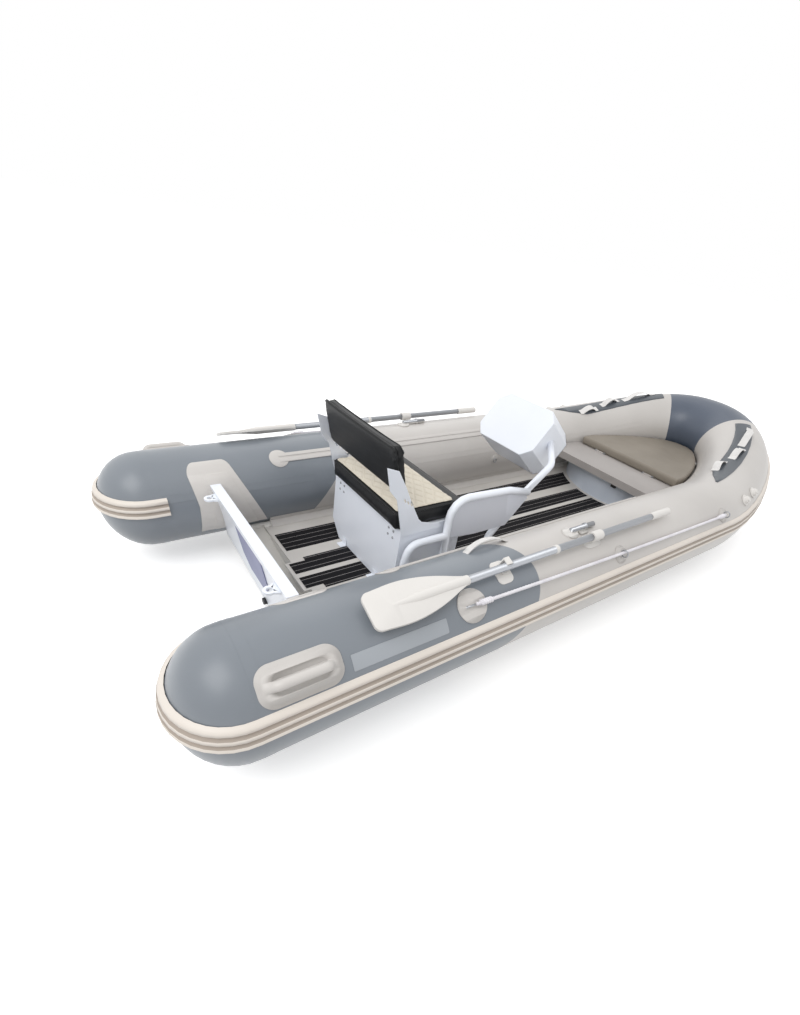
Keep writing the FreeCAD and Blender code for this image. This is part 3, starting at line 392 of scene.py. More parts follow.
def dress(node, material, angle=35, ease_mm=0.0):
    mesh = merged(node)
    smooth_shaded(mesh, angle)
    piece = place_piece(node + "_finish", mesh, material, body_of_node(node))
    if ease_mm:
        ease_edges(piece, ease_mm, angle)
    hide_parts(node)
    return piece


# %% [markdown]
# A tube of fabric is round, but its node is flat strips. More faces would make it rounder and
# much heavier. The place of the tube's axis is known instead, so each corner of a strip gets the
# normal of the true tube, and the light runs smoothly along it.
# The same axis later places tapes, webbing and rings on the tubes. A run is a distance along a
# tube: up to the bow it is x itself, and round the bow a metre of run is 100 degrees of turn.

# %% The axis of the tubes
tube_r = 0.215
tube_side = 0.645
axis_z = 0.210
bow_start = 2.650
bow_reach = 1.083
bow_plan_power = 1.23
bow_side_power = 0.89
sheer_rise = 0.203
sheer_power = 1.85
turn_per_metre = 100
tail_seam = -0.045
tail_long = 0.190


def bow_axis(turn):
    ahead = max(0.0, math.sin(math.radians(turn)))
    aside = math.cos(math.radians(turn))
    x = bow_start + bow_reach * ahead ** bow_plan_power
    rise = sheer_rise * max(0.0, (x - bow_start) / bow_reach) ** sheer_power
    return Vector((x, math.copysign(tube_side * abs(aside) ** bow_side_power, aside), axis_z + rise))


def tube_frame(run):
    if run <= bow_start:
        return Vector((run, tube_side, axis_z)), Vector((1, 0, 0)), Vector((0, 1, 0)), Vector((0, 0, 1))
    turn = (run - bow_start) * turn_per_metre
    heading = (bow_axis(turn + 0.05) - bow_axis(max(0.0, turn - 0.05))).normalized()
    outward = Vector((-heading.y, heading.x, 0)).normalized()
    return bow_axis(turn), heading, outward, heading.cross(outward)


def tube_point(run, angle, lift, side=1):
    centre, heading, outward, upright = tube_frame(run)
    lean = math.radians(angle)
    place = centre + (outward * math.cos(lean) + upright * math.sin(lean)) * (tube_r + lift)
    return Vector((place.x, place.y * side, place.z))


straight_runs = [tail_seam + 0.03 * i for i in range(90)]
bow_runs = [bow_start + 0.01 * i for i in range(91)]
runs = straight_runs + bow_runs
axis_frames = [tube_frame(run) for run in runs]
axis_tree = kdtree.KDTree(len(runs))
for i, axis_frame in enumerate(axis_frames):
    axis_tree.insert(axis_frame[0], i)
axis_tree.balance()
print("axis", len(runs), "stations")

# %% [markdown]
# On the straight tube and the bow, the true normal points away from the nearest place on the
# axis. The tail cone is half an egg, so there it comes from the egg's own three radii. Starboard
# is port mirrored, so only the port side is worked out.

# %% Round normals
def round_normal(point):
    near = Vector((point.x, abs(point.y), point.z))
    if near.x < tail_seam:
        normal = Vector(((near.x - tail_seam) / tail_long ** 2, (near.y - tube_side) / tube_r ** 2,
                         (near.z - axis_z) / tube_r ** 2))
    else:
        centre, heading, outward, upright = axis_frames[axis_tree.find(near)[1]]
        normal = near - centre
        normal -= heading * normal.dot(heading)
    if point.y < 0:
        normal.y = -normal.y
    return normal.normalized() if normal.length > 1e-6 else Vector((-1, 0, 0))


def dress_tube(node, material):
    piece = dress(node, material, angle=60)
    mesh = piece.data
    mesh.normals_split_custom_set_from_vertices([round_normal(v.co) for v in mesh.vertices])
    return piece


# %% [markdown]
# The boat is dark aft, light forward and dark again at the stem. The tubes need their round
# normals. The hull is painted sheet in three welded lengths, flat between its chines, so it only
# needs sharp lines there, and one paint makes the lengths look like one.

# %% Tubes and hull
for side in ("port", "starboard"):
    dress_tube("tube_aft_" + side, tube_dark)
    dress_tube("tube_tail_" + side, tube_dark)
    dress_tube("tube_forward_" + side, tube_light)
dress_tube("tube_bow", bow_dark)
for node in ("hull", "hull_stern", "hull_bow"):
    dress(node, hull_coat, angle=25)
dress("deck", deck_coat)
print("tubes, hull and deck dressed")

# %% [markdown]
# Folded and welded sheet never has a knife edge: the bend or the grinder rounds it, and powder
# rounds it more. The edges could be bevelled one by one, but a modifier that finds them by
# their angle does a whole part at once. Its width is about the real radius, and wide on the
# console pod, whose corners are welded and dressed. A tube frame has no edges to ease.

# %% Metalwork
for node in ("transom", "transom_rail", "seat_box", "seat_brackets", "seat_feet", "lifting_eyes"):
    dress(node, white_coat, angle=30, ease_mm=1.5)
# The lid and the bow deck take the grey that holds painted shade.
for node in ("bow_deck", "locker_lid"):
    dress(node, lid_grey_and_painted_shade, angle=30, ease_mm=1.0)
dress("console_frame", white_coat, angle=40)
dress("console_pod", white_coat, angle=20, ease_mm=5.0)
dress("console_pod_cover", dark_plastic, angle=30, ease_mm=0.8)
dress("console_panel", panel_grey, angle=30, ease_mm=1.5)
dress("locker_front", locker_coat, angle=30)
dress("lid_hinges", steel, angle=40)
dress("locker_latch", dark_plastic, angle=30, ease_mm=3.0)
dress("drain_plug", dark_plastic, angle=40, ease_mm=1.5)
print("metalwork dressed")

# %% [markdown]
# Some nodes hold two materials, such as a fabric patch with a steel ring on it. They could be
# parted by hand, but the height above the tube tells them apart, face by face: what stands
# clear of the patch is metal.

# %% Patch and metal
def second_finish(piece, material, test):
    piece.data.materials.append(material)
    count = 0
    for face in piece.data.polygons:
        if test(face.center):
            face.material_index = 1
            count += 1
    print(piece.name, count, "faces in", material.name)


def clear_of_tube(point):
    return math.hypot(abs(point.y) - tube_side, point.z - axis_z) - tube_r


def metal_above(piece, height, metal):
    second_finish(piece, metal, lambda point: clear_of_tube(point) > height)


# %% [markdown]
# The rub strake has three ridges with two grooves between them, and the grooves are painted a
# darker tone as painted shade. They lie at set heights above the tube's axis, so their faces are found by
# that height.

# %% Strake grooves
groove_heights = (0.038, 0.064)
groove_half = 0.0062


def in_groove(point):
    level = axis_z
    if point.x >= 0:
        near = Vector((point.x, abs(point.y), point.z))
        level = axis_frames[axis_tree.find(near)[1]][0].z
    height = point.z - level
    return any(abs(height - middle) < groove_half for middle in groove_heights)


for side in ("port", "starboard"):
    strake = dress("rub_strake_" + side, strake_rubber, angle=28)
    # The groove faces take the darker tone, which is painted shade.
    second_finish(strake, strake_groove_shade, in_groove)

# %% [markdown]
# The fittings are cloth patches, webbing, moulded plastic and a little steel. Patches get a very
# small bevel, because a cut edge of cloth is rolled flat with a hand roller as it is glued. The
# oar pieces ride on their own bodies, which their nodes name, and turn with them.

# %% Fittings
anchor_metal = 0.0058
ring_metal = 0.0040
oarlock_metal = 0.0125

for node in ("deck_mats_inner", "deck_mats_outer"):
    dress(node, mat_foam, angle=30)
dress("transom_pads", pad_plastic, angle=30, ease_mm=1.2)
dress("bow_handle_patches", patch_dark, angle=40)
dress("side_plate_starboard", plate_fabric, angle=40, ease_mm=0.6)
for node in ("transom_patches", "inner_bands", "deck_bond_strips"):
    dress(node, patch_fabric, angle=40, ease_mm=0.6)
metal_above(dress("line_anchors", patch_fabric, angle=40), anchor_metal, steel)
metal_above(dress("line_rings", tube_light, angle=40), ring_metal, steel)
dress("tube_valves", oar_plastic, angle=40, ease_mm=0.8)
dress("top_straps", webbing, angle=40)
dress("oar_clips", oar_plastic, angle=40, ease_mm=0.8)
for side in ("port", "starboard"):
    dress("grab_handle_" + side, patch_fabric, angle=40)
    metal_above(dress("oarlock_base_" + side, oar_plastic, angle=40), oarlock_metal, steel)
    dress("oar_shaft_" + side, aluminium, angle=40)
    dress("oar_grip_" + side, oar_plastic, angle=40, ease_mm=1.0)
    dress("oar_blade_" + side, oar_plastic, angle=40, ease_mm=3.0)
    dress("oar_collar_" + side, oar_plastic, angle=40, ease_mm=1.0)
print("fittings dressed")

# %% [markdown]
# A tape, a strap and a rope are all a cross-section carried along a line. The shape starts as a
# closed cylinder with as many sides as the section has corners. Its long edges are cut once for
# each place along the line, and each ring of corners is then moved to its place. The cylinder
# counts its corners from Y towards X, and its ends are closed from the start. A curve with a
# bevel could do it too, but it wouldn't turn its section with the surface of a tube.

# %% A section carried along a line
def skinned(name, rings):
    last = len(rings) - 1
    sides = len(rings[0])
    shape = bmesh.new()
    bmesh.ops.create_cone(shape, cap_ends=True, segments=sides, radius1=1, radius2=1, depth=1)
    lengthwise = [edge for edge in shape.edges if abs(edge.verts[0].co.z - edge.verts[1].co.z) > 0.5]
    bmesh.ops.subdivide_edges(shape, edges=lengthwise, cuts=last - 1)
    for vertex in shape.verts:
        along = round((vertex.co.z + 0.5) * last)
        turn = math.atan2(vertex.co.x, vertex.co.y) / (2 * math.pi)
        vertex.co = rings[along][round(turn * sides) % sides]
    bmesh.ops.recalc_face_normals(shape, faces=shape.faces)
    return mesh_from(name, shape)


def mesh_from(name, shape):
    mesh = bpy.data.meshes.new(name)
    shape.to_mesh(mesh)
    shape.free()
    return mesh


def joined(name, meshes):
    shape = bmesh.new()
    for mesh in meshes:
        shape.from_mesh(mesh)
        bpy.data.meshes.remove(mesh)
    return mesh_from(name, shape)


# %% [markdown]
# Tape and webbing are flat strips. Each station of one is a place on the tube, the way across
# the strip there and the way up from the tube, with four corners set round it. A strip then
# lies on the round of the tube with no twist of its own.

# %% A strip from its stations
def strip_mesh(name, stations, width, thick):
    rings = []
    for place, across, upward in stations:
        half = across * width / 2
        rise = upward * thick
        rings.append((place - half, place + half, place + half + rise, place - half + rise))
    return skinned(name, rings)


def added_piece(name, mesh, material, body="boat", angle=40):
    smooth_shaded(mesh, angle)
    piece = place_piece(name, mesh, material, body)
    return piece


# %% [markdown]
# Three webbing loops stand on each dark bow patch for hands to hold. Each is sewn down at both
# ends and bows up between them, so its tabs lie flat and its middle clears the fabric by a
# finger. A flat strip could be bent by a modifier, but stations on the tube itself follow its
# rise round the bow exactly.

# %% Bow loops
loop_ends = ((19, 112, 29, 110), (32, 103, 42, 94), (44, 98, 61, 85))
loop_wide = 0.044
loop_thick = 0.0026
loop_rise = 0.030
loop_tab = 0.16
loop_power = 0.8
loop_steps = 24
loop_bend = 30
patch_top = 0.0032
probe = 0.05


def loop_stations(turn_a, angle_a, turn_b, angle_b, side):
    places = []
    for i in range(loop_steps + 1):
        share = i / loop_steps
        clear = min(1, max(0, (share - loop_tab) / (1 - 2 * loop_tab)))
        bow = math.sin(math.pi * clear) ** loop_power
        run = bow_start + (turn_a + (turn_b - turn_a) * share) / turn_per_metre
        angle = angle_a + (angle_b - angle_a) * share
        base = tube_point(run, angle, patch_top, side)
        upward = (tube_point(run, angle, patch_top + probe, side) - base).normalized()
        places.append((base + upward * loop_rise * bow, upward))
    stations = []
    for i, (place, upward) in enumerate(places):
        along = places[min(i + 1, loop_steps)][0] - places[max(i - 1, 0)][0]
        across = along.cross(upward).normalized()
        stations.append((place, across, across.cross(along).normalized()))
    return stations


for name, side in (("port", 1), ("starboard", -1)):
    loops = [strip_mesh("loop", loop_stations(*ends, side), loop_wide, loop_thick) for ends in loop_ends]
    hand_loops = added_piece("bow_loops_" + name, joined("bow_loops", loops), webbing)
    ease_edges(hand_loops, 0.6, loop_bend)
print("bow loops", 2 * len(loop_ends))

# %% [markdown]
# The tubes are glued up from panels. A tape of the same cloth covers each seam: one round the
# root of the tail cone, and one along the inboard side of the dark and of the light tube. It
# could be drawn in the material, but a real edge of under a millimetre catches the light as
# glued cloth does.

# %% Seam tapes
tape_wide = 0.034
tape_thick = 0.0009
tape_sunk = 0.0002
tape_angle = 158
cone_tape_run = -0.018
cone_tape_turn = (-175, 180)
dark_tape = (0.0, 0.70)
light_tape = (0.90, bow_start + 0.5)


def tape_station(run, angle, side):
    place = tube_point(run, angle, -tape_sunk, side)
    upward = (tube_point(run, angle, probe, side) - place).normalized()
    along = tube_frame(run)[1]
    return place, Vector((along.x, along.y * side, along.z)), upward


def round_tape(run, from_angle, to_angle, side):
    steps = 60
    angles = [from_angle + (to_angle - from_angle) * i / steps for i in range(steps + 1)]
    stations = [tape_station(run, angle, side) for angle in angles]
    return strip_mesh("tape", stations, tape_wide, tape_thick)


def long_tape(from_run, to_run, angle, side):
    steps = 80
    stations = []
    for i in range(steps + 1):
        place, along, upward = tape_station(from_run + (to_run - from_run) * i / steps, angle, side)
        stations.append((place, along.cross(upward).normalized(), upward))
    return strip_mesh("tape", stations, tape_wide, tape_thick)


for name, side in (("port", 1), ("starboard", -1)):
    cone_tape = round_tape(cone_tape_run, *cone_tape_turn, side)
    dark = joined("tapes", [cone_tape, long_tape(*dark_tape, tape_angle, side)])
    added_piece("seam_tapes_aft_" + name, dark, tube_dark)
    light = long_tape(*light_tape, tape_angle, side)
    added_piece("seam_tapes_forward_" + name, light, tube_light)
print("seam tapes on both tubes")

# %% [markdown]
# Round fittings are turned: a profile of radius and height is spun once about its axis, as on a
# lathe, and says the whole shape in one line. Doubles are merged before the ends are filled and
# the normals are set outwards, because spin can turn a shape inside out.

# %% A turned shape
def turned(place, axis, profile, sides):
    axis = axis.normalized()
    side = axis.orthogonal().normalized()
    shape = bmesh.new()
    rim = [shape.verts.new(place + axis * height + side * radius) for radius, height in profile]
    edges = [shape.edges.new(pair) for pair in zip(rim, rim[1:])]
    bmesh.ops.spin(shape, geom=rim + edges, cent=place, axis=axis, angle=2 * math.pi, steps=sides,
                   use_merge=True)
    bmesh.ops.remove_doubles(shape, verts=shape.verts, dist=0.000001)
    bmesh.ops.holes_fill(shape, edges=shape.edges, sides=0)
    bmesh.ops.recalc_face_normals(shape, faces=shape.faces)
    return mesh_from("turned", shape)


# %% [markdown]
# Each oar shaft is a tube in lengths that plug together. A thin ferrule covers each joint, and a
# stop ring keeps the oar in its collar. All three are short rings with chamfered edges, turned
# on the shaft's own axis. They swing with the oar, so they ride on its body.

# %% Oar ferrules
ferrule_places = (0.710, 1.183, 1.860)
ferrule_long = 0.016
ferrule_proud = 0.0016
ferrule_sunk = 0.0002
ferrule_sides = 32

for side in ("port", "starboard"):
    low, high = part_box("oar_shaft_" + side)
    centre = (low + high) / 2
    inner = (high.z - low.z) / 2 - ferrule_sunk
    profile = [(inner, -0.5 * ferrule_long), (inner + ferrule_proud, -0.42 * ferrule_long),
               (inner + ferrule_proud, 0.42 * ferrule_long), (inner, 0.5 * ferrule_long)]
    places = [Vector((x, centre.y, centre.z)) for x in ferrule_places]
    rings = [turned(place, Vector((1, 0, 0)), profile, ferrule_sides) for place in places]
    body = body_of_node("oar_shaft_" + side)
    added_piece("oar_ferrules_" + side, joined("oar_ferrules", rings), oar_plastic, body)
print("ferrules", 2 * len(ferrule_places))

# %% [markdown]
# A lifeline of laid rope runs taut along each tube, from the eye by the oar blade over the ring
# amidships to the forward ring. Its line is a smooth spline, and its three strands twist round
# that line once in 45 mm. Three separate strands would be heavy and look the same, so one
# section with three lobes is turned as it goes along. A hitch is wrapped round it at each eye.

# %% Lifelines
line_route = ((0.731, 0.8087, 0.3795), (1.586, 0.8253, 0.356), (2.529, 0.8303, 0.3496))
route_steps = 190
rope_thick = 0.014
rope_lay = 0.045
strand_depth = 0.20
section_sides = 18
hitch_thin = 0.0085
hitch_swell = 0.0035
hitch_pitch = 0.011
hitch_steps = 44
hitch_first = 4
hitch_points = 11


def spline_line(points, steps):
    curve = bpy.data.curves.new("route", "CURVE")
    curve.dimensions = "3D"
    curve.resolution_u = steps
    spline = curve.splines.new("NURBS")
    spline.points.add(len(points) - 1)
    for control, place in zip(spline.points, points):
        control.co = (*place, 1)
    spline.order_u = 3
    spline.use_endpoint_u = True
    holder = bpy.data.objects.new("route", curve)
    bpy.context.scene.collection.objects.link(holder)
    mesh = bpy.data.meshes.new_from_object(holder)
    line = [vertex.co.copy() for vertex in mesh.vertices]
    bpy.data.objects.remove(holder)
    return line


def swept(name, line, radius_at, flat=Vector((0, 0, 1))):
    rings = []
    travelled = 0.0
    turns = [2 * math.pi * j / section_sides for j in range(section_sides)]
    for i, place in enumerate(line):
        if i:
            travelled += (place - line[i - 1]).length
        along = (line[min(i + 1, len(line) - 1)] - line[max(i - 1, 0)]).normalized()
        across = along.cross(flat).normalized()
        upward = across.cross(along)
        ring = []
        for turn in turns:
            outward = across * math.cos(turn) + upward * math.sin(turn)
            ring.append(place + outward * radius_at(travelled, turn))
        rings.append(ring)
    return skinned(name, rings)


def strand_radius(travelled, angle):
    twist = angle - 2 * math.pi * travelled / rope_lay
    return rope_thick / 2 * (1 - strand_depth + strand_depth * abs(math.cos(1.5 * twist)))


def hitch_radius(travelled, angle):
    return hitch_thin + hitch_swell * abs(math.sin(math.pi * travelled / hitch_pitch + 0.5 * angle))


# %% [markdown]
# The rope is a free cord, drawn along the line that it follows. Both ends return to the boat,
# it is pulled taut, and the hitches are pieces on it.

# %% Both lifelines
def hitch(line, start):
    near, far = line[start], line[start + hitch_points]
    return swept("hitch", [near.lerp(far, i / hitch_steps) for i in range(hitch_steps + 1)], hitch_radius)


for name, side in (("port", 1), ("starboard", -1)):
    line = spline_line([(x, y * side, z) for x, y, z in line_route], route_steps)
    strands = swept("lifeline", line, strand_radius)
    rope = added_piece("lifeline_" + name, strands, rope_yarn, angle=180)
    hitch_last = len(line) - 1 - hitch_first - hitch_points
    hitches = joined("hitches", [hitch(line, hitch_first), hitch(line, hitch_last)])
    wraps = added_piece("lifeline_hitches_" + name, hitches, rope_yarn, angle=180)
    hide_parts("lifelines")

# %% [markdown]
# The cushions are foam blocks in sewn vinyl. They could be rounded with a bevel, but a stuffed
# cover crowns by itself, so a block is remeshed into small even cells and blown up a little as
# cloth. Its faces then crown, and its sides pull in between the corners. No point may move far or
# leave the block's box, so the bottom stays flat where it rests.

# %% Blow up a cushion
block_shrink = 0.001
most_moved = 0.006
pressure = 3.0
cloth_steps = 12


def evaluated_mesh(piece):
    return bpy.data.meshes.new_from_object(piece.evaluated_get(bpy.context.evaluated_depsgraph_get()))


def foam_cells(node, name, cell):
    mesh = merged(node)
    low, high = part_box(node)
    middle = (low + high) / 2
    for vertex in mesh.vertices:
        for i in range(3):
            vertex.co[i] -= math.copysign(block_shrink, vertex.co[i] - middle[i])
    piece = bpy.data.objects.new(name, mesh)
    bpy.context.scene.collection.objects.link(piece)
    remesh = piece.modifiers.new("cells", "REMESH")
    remesh.mode = "VOXEL"
    remesh.voxel_size = cell
    bpy.context.view_layer.update()
    even = evaluated_mesh(piece)
    piece.modifiers.clear()
    piece.data = even
    return piece


def blow_up(piece):
    start = [vertex.co.copy() for vertex in piece.data.vertices]
    cloth = piece.modifiers.new("cloth", "CLOTH")
    cloth.settings.quality = 3
    cloth.settings.use_pressure = True
    cloth.settings.uniform_pressure_force = pressure
    cloth.settings.effector_weights.gravity = 0
    for step in range(1, cloth_steps + 1):
        bpy.context.scene.frame_set(step)
    blown = evaluated_mesh(piece)
    for vertex, origin in zip(piece.data.vertices, start):
        moved = blown.vertices[vertex.index].co - origin
        if moved.length > most_moved:
            moved = moved.normalized() * most_moved
        vertex.co = origin + moved
    piece.modifiers.clear()
    bpy.context.scene.frame_set(1)


def inflated(node, name, cell):
    piece = foam_cells(node, name, cell)
    blow_up(piece)
    low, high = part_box(node)
    for vertex in piece.data.vertices:
        for i in range(3):
            vertex.co[i] = min(max(vertex.co[i], low[i]), high[i])
    smooth_faces(piece.data)
    print(name, len(piece.data.vertices), "points")
    return piece


# %% [markdown]
# The cream panel on the seat is quilted: crossed rows of stitching pull its cover down to the
# foam. A bump in the material would vanish at a low angle, so the rows are real. The cells are
# halved first, and the rows are then pressed into them, deepest on the stitch line and gone a
# few millimetres away. Near the rim they fade out.

# %% Quilt the seat panel
quilt_pitch = 0.052
quilt_depth = 0.0050
quilt_slant = 0.6
stitch_soft = 0.0045
quilt_margin = 0.02


def quilted(piece, low, high):
    shape = bmesh.new()
    shape.from_mesh(piece.data)
    bmesh.ops.subdivide_edges(shape, edges=shape.edges, cuts=1, use_grid_fill=True)
    shape.to_mesh(piece.data)
    shape.free()
    smooth_faces(piece.data)
    for vertex in piece.data.vertices:
        place = vertex.co
        if place.z < (low.z + high.z) / 2:
            continue
        pull = 0.0
        for lean in (1, -1):
            row = (place.x + lean * place.y * quilt_slant) / quilt_pitch
            away = abs(row - round(row)) * quilt_pitch
            pull = max(pull, math.exp(-(away / stitch_soft) ** 2))
        edge = min(place.x - low.x, high.x - place.x, place.y - low.y, high.y - place.y)
        place.z -= quilt_depth * pull * min(1.0, edge / quilt_margin)
    print(piece.name, "quilted at", quilt_pitch)


# %% [markdown]
# Five soft pieces are made this way: the seat's black cushion and its cream panel, the black
# pad and board of the backrest, and the taupe cushion in the bow. Small pieces get smaller
# cells. One step of subdivision then rounds the cells away.

# %% Cushions
def finish_cushion(piece, node, material):
    piece.data.materials.clear()
    piece.data.materials.append(material)
    soft = piece.modifiers.new("soft", "SUBSURF")
    soft.levels = 1
    soft.render_levels = 1
    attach(piece, body_of_node(node))
    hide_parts(node)


soft_nodes = (("seat_cushion", vinyl_black, "cushion_black", 0.009),
              ("seat_panel", vinyl_cream, "cushion_cream", 0.008),
              ("backrest_pad", vinyl_black, "cushion_black", 0.008),
              ("backrest_board", vinyl_black, "cushion_black", 0.007),
              ("bow_cushion", vinyl_taupe, "cushion_taupe", 0.010))
sewn = {}
for node, material, slot, cell in soft_nodes:
    sewn[node] = inflated(node, node + "_sewn", cell)
    if node == "seat_panel":
        quilted(sewn[node], *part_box(node))
    finish_cushion(sewn[node], node, material)
print("cushions", len(sewn))

# %% [markdown]
# Piping runs round the rim of each black cushion, where its faces are sewn to its band. A loop
# set by hand would float off the stuffed cover, so it starts as the outline of the block's flat
# face, found in the block's own plane, and each point is then laid on the blown-up cover. The
# thin round section is carried along it as the rope's was.

# %% Piping
piping_radius = 0.0026
piping_outward = 0.002
piping_drop = 0.003
piping_step = 0.012
piping_lift = 0.0006
face_depth = 0.0006


def bend_of(a, b, c):
    return (b[0] - a[0]) * (c[1] - a[1]) - (b[1] - a[1]) * (c[0] - a[0])


def outline_of(points):
    halves = []
    for order in (sorted(points), sorted(points, reverse=True)):
        chain = []
        for point in order:
            while len(chain) > 1 and bend_of(chain[-2], chain[-1], point) <= 0:
                chain.pop()
            chain.append(point)
        halves += chain[:-1]
    return halves


def cushion_plane(points, middle):
    sxx = sum((p.x - middle.x) ** 2 for p in points)
    szz = sum((p.z - middle.z) ** 2 for p in points)
    sxz = sum((p.x - middle.x) * (p.z - middle.z) for p in points)
    lean = 0.5 * math.atan2(2 * sxz, sxx - szz)
    return Vector((math.cos(lean), 0, math.sin(lean)))


def rim_corners(node, face_side):
    points = [vertex.co for vertex in frame["nodes"][node].data.vertices]
    middle = sum(points, Vector()) / len(points)
    along = cushion_plane(points, middle)
    normal = Vector((-along.z, 0, along.x)) * face_side
    top = max((p - middle).dot(normal) for p in points)
    rim = [p for p in points if (p - middle).dot(normal) > top - face_depth]
    loop = outline_of({(round((p - middle).dot(along), 5), round(p.y - middle.y, 5)) for p in rim})
    centre = Vector((sum(p[0] for p in loop), sum(p[1] for p in loop))) / len(loop)
    corners = []
    for u, v in loop + loop[:1]:
        away = (Vector((u, v)) - centre).normalized() * piping_outward
        flat_place = along * (u + away.x) + Vector((0, v + away.y, 0))
        corners.append(middle + flat_place + normal * (top - piping_drop))
    return corners, normal


def piping(node, face_side):
    corners, normal = rim_corners(node, face_side)
    line = []
    for near, far in zip(corners, corners[1:] + corners[1:2]):
        steps = max(1, round((far - near).length / piping_step))
        for i in range(steps):
            place, outer = sewn[node].closest_point_on_mesh(near.lerp(far, i / steps))[1:3]
            line.append(place + outer * piping_lift)
    print(node, "piping", len(line), "points")
    return swept("piping", line, lambda travelled, angle: piping_radius, normal)


bpy.context.view_layer.update()
for node, sides in (("seat_cushion", (1,)), ("backrest_pad", (1, -1)), ("backrest_board", (1, -1))):
    loops = joined("piping", [piping(node, side) for side in sides])
    added_piece(node + "_piping", loops, vinyl_black, body_of_node(node), angle=180)

# %% [markdown]
# Four domed bolt heads hold each seat bracket to the back of the seat box. Each is turned from
# its profile, square to the slanting face that it sits on, and sunk into it by less than half a
# millimetre so that no light shows under it.

# %% Seat bolts
bolt_head = ((0.0062, -0.0004), (0.0062, 0.0009), (0.0052, 0.0024), (0.0030, 0.0034), (0.0004, 0.0037))
box_face = Vector((0.7486, 0, 0.3545))
box_normal = Vector((-0.998, 0, 0.068))
bolt_rows = (0.314, 0.345)
bolt_columns = (-0.243, -0.205, 0.205, 0.243)
turned_sides = 28

bolts = []
for y in bolt_columns:
    for z in bolt_rows:
        place = Vector((box_face.x + (z - box_face.z) * box_normal.z, y, z))
        bolts.append(turned(place, box_normal, bolt_head, turned_sides))
added_piece("seat_bolts", joined("bolts", bolts), steel, body_of_node("seat_box"), angle=50)
print("bolts", len(bolts))

# %% [markdown]
# A steel ring hangs from a round cloth patch on the inboard side of each tube. The ring is round
# bar bent to a circle and welded. A ready torus would have to be turned and moved to its place,
# so a small circle, stood on edge at the top of the ring, is spun about the ring's own middle.

# %% Inner rings
patch_disc = ((0.0300, -0.0012), (0.0300, 0.0008), (0.0292, 0.0016), (0.0060, 0.0018), (0.0004, 0.0018))
ring_run = 1.969
ring_angle = 177
ring_radius = 0.013
ring_bar = 0.0022
ring_stand_off = 0.0055
ring_lift = 0.006
ring_steps = 36
inward_lean = 0.05


def ring_mesh(top, flat, down):
    across = flat.cross(down).normalized()
    shape = bmesh.new()
    bmesh.ops.create_circle(shape, cap_ends=False, segments=section_sides, radius=ring_bar)
    stood = Matrix.Translation(top) @ Matrix((down, flat, across)).transposed().to_4x4()
    bmesh.ops.transform(shape, matrix=stood, verts=shape.verts)
    bmesh.ops.spin(shape, geom=shape.verts[:] + shape.edges[:], cent=top + down * ring_radius, axis=flat,
                   angle=2 * math.pi, steps=ring_steps, use_merge=True)
    bmesh.ops.remove_doubles(shape, verts=shape.verts, dist=0.000001)
    bmesh.ops.recalc_face_normals(shape, faces=shape.faces)
    return mesh_from("ring", shape)


for name, side in (("port", 1), ("starboard", -1)):
    place = tube_point(ring_run, ring_angle, 0, side)
    normal = Vector((0, -side, inward_lean)).normalized()
    pad = turned(place, normal, patch_disc, turned_sides)
    added_piece("inner_ring_patch_" + name, pad, tube_light, angle=50)
    down = Vector((0, inward_lean * -side, -1)).normalized()
    ring = ring_mesh(place + normal * ring_stand_off + Vector((0, 0, ring_lift)), normal, down)
    added_piece("inner_ring_" + name, ring, steel, angle=180)
print("inner rings", 2)

# %% [markdown]
# The studio is a white floor just under the keel, a pale world and two large soft lamps. The
# floor shows white to the camera and keeps the boat's shadow. To the light that it throws back
# it is a middle grey, so the undersides of the tubes stay darker than their tops.

# %% Floor and light
floor_to_camera = "#F2F2F2"
floor_to_light = "#B8B8B8"
floor_glow = 0.40
floor_size = 120
floor_gap = 0.002
world_level = 0.91
lamps = (("key_lamp", (-3.0, -1.2, 5.5), 4.0, 150), ("fill_lamp", (4.5, 5.0, 4.5), 6.0, 60))
lamp_target = Vector((1.7, 0, 0.2))


def seen_rays(tree):
    path = add_node(tree, "LightPath")
    either = add_node(tree, "Math", operation="MAXIMUM")
    tree.links.new(path.outputs["Is Camera Ray"], either.inputs[0])
    tree.links.new(path.outputs["Is Glossy Ray"], either.inputs[1])
    seen = add_node(tree, "Math", operation="MAXIMUM")
    tree.links.new(either.outputs[0], seen.inputs[0])
    tree.links.new(path.outputs["Is Transmission Ray"], seen.inputs[1])
    return seen.outputs[0]


def white_floor():
    material, tree, shader = new_material("studio_floor", floor_to_camera, 0.9)
    shader.inputs["Specular IOR Level"].default_value = 0.0
    seen = seen_rays(tree)
    paint = add_node(tree, "Mix", {"Factor": seen}, data_type="RGBA")
    paint.inputs["A"].default_value = srgb(floor_to_light)
    paint.inputs["B"].default_value = srgb(floor_to_camera)
    tree.links.new(paint.outputs["Result"], shader.inputs["Base Color"])
    level = add_node(tree, "Math", operation="MULTIPLY")
    tree.links.new(seen, level.inputs[0])
    level.inputs[1].default_value = floor_glow
    glow = add_node(tree, "Emission", {"Strength": level.outputs[0]}, Color=(1, 1, 1, 1))
    both = add_node(tree, "AddShader")
    tree.links.new(shader.outputs[0], both.inputs[0])
    tree.links.new(glow.outputs[0], both.inputs[1])
    tree.links.new(both.outputs[0], tree.nodes["Material Output"].inputs["Surface"])
    return material


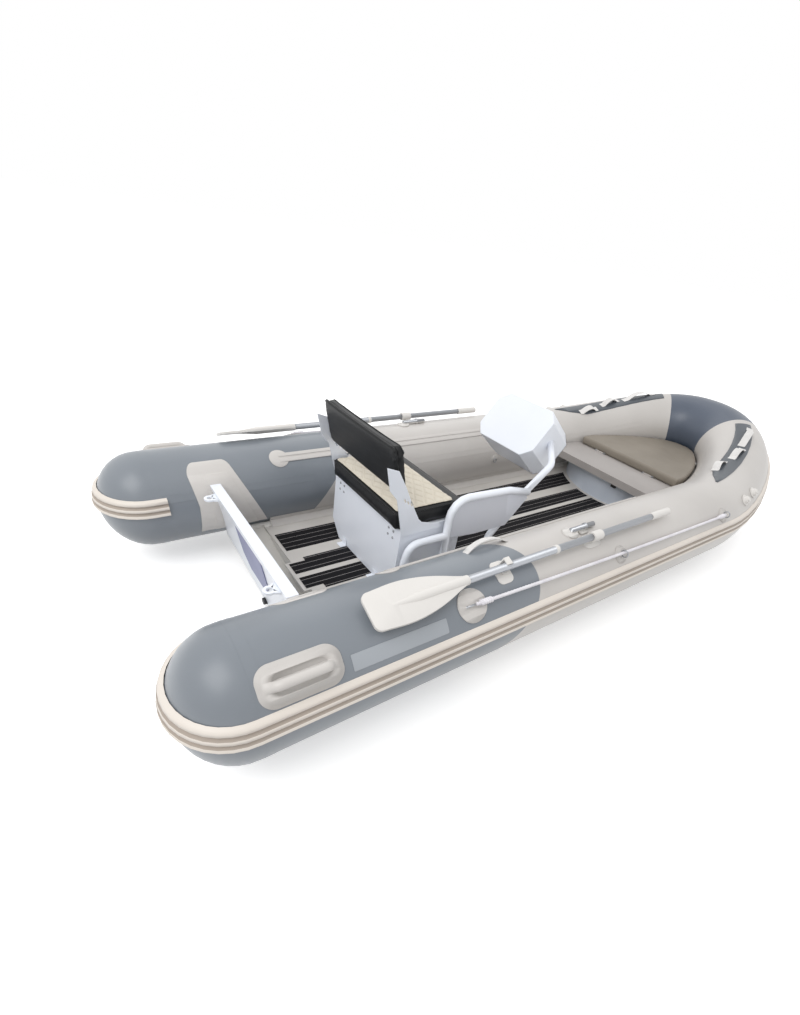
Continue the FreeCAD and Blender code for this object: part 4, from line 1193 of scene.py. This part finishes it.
def studio():
    bpy.ops.mesh.primitive_plane_add(size=floor_size, location=(1.8, 0, cad_box[0].z - floor_gap))
    floor = bpy.context.object
    floor.name = "studio_floor"
    floor.data.materials.append(white_floor())
    world = bpy.data.worlds.new("studio_world")
    bpy.context.scene.world = world
    world.use_nodes = True
    tree = world.node_tree
    level = add_node(tree, "MapRange", {"Value": seen_rays(tree)})
    level.inputs["To Min"].default_value = world_level
    level.inputs["To Max"].default_value = 1.0
    tree.nodes["Background"].inputs["Color"].default_value = (1, 1, 1, 1)
    tree.links.new(level.outputs["Result"], tree.nodes["Background"].inputs["Strength"])
    for name, place, size, power in lamps:
        lamp = bpy.data.lights.new(name, "AREA")
        lamp.size = size
        lamp.energy = power
        holder = bpy.data.objects.new(name, lamp)
        holder.location = place
        holder.rotation_euler = (lamp_target - Vector(place)).to_track_quat("-Z", "Y").to_euler()
        bpy.context.scene.collection.objects.link(holder)
    print("studio ready")


studio()

# %% [markdown]
# The camera stands where the photograph was taken: off the starboard quarter, above the tube,
# with a wide lens. Its turn, tilt and roll were fitted to the outline of both tubes, so a render
# can be laid over the photograph.

# %% Camera
eye = Vector((-0.2315, -1.6492, 1.3923))
yaw, pitch, roll = 0.717, 0.633, 0.164
ahead = Vector((math.sin(yaw) * math.cos(pitch), math.cos(yaw) * math.cos(pitch), -math.sin(pitch)))
right = Vector((math.cos(yaw), -math.sin(yaw), 0))
up = right.cross(ahead)
across = right * math.cos(roll) + up * math.sin(roll)
upward = up * math.cos(roll) - right * math.sin(roll)
turn = Matrix((across, upward, -ahead)).transposed()
lens = bpy.data.cameras.new("camera")
lens.lens = 16.67
lens.sensor_width = 36
lens.shift_x = -0.030
lens.shift_y = 0.068
lens.clip_start = 0.01
camera = bpy.data.objects.new("camera", lens)
camera.matrix_world = Matrix.Translation(eye) @ turn.to_4x4()
bpy.context.scene.collection.objects.link(camera)
bpy.context.scene.camera = camera
bpy.context.scene.view_settings.view_transform = "Standard"
print("camera", [round(v, 3) for v in eye])
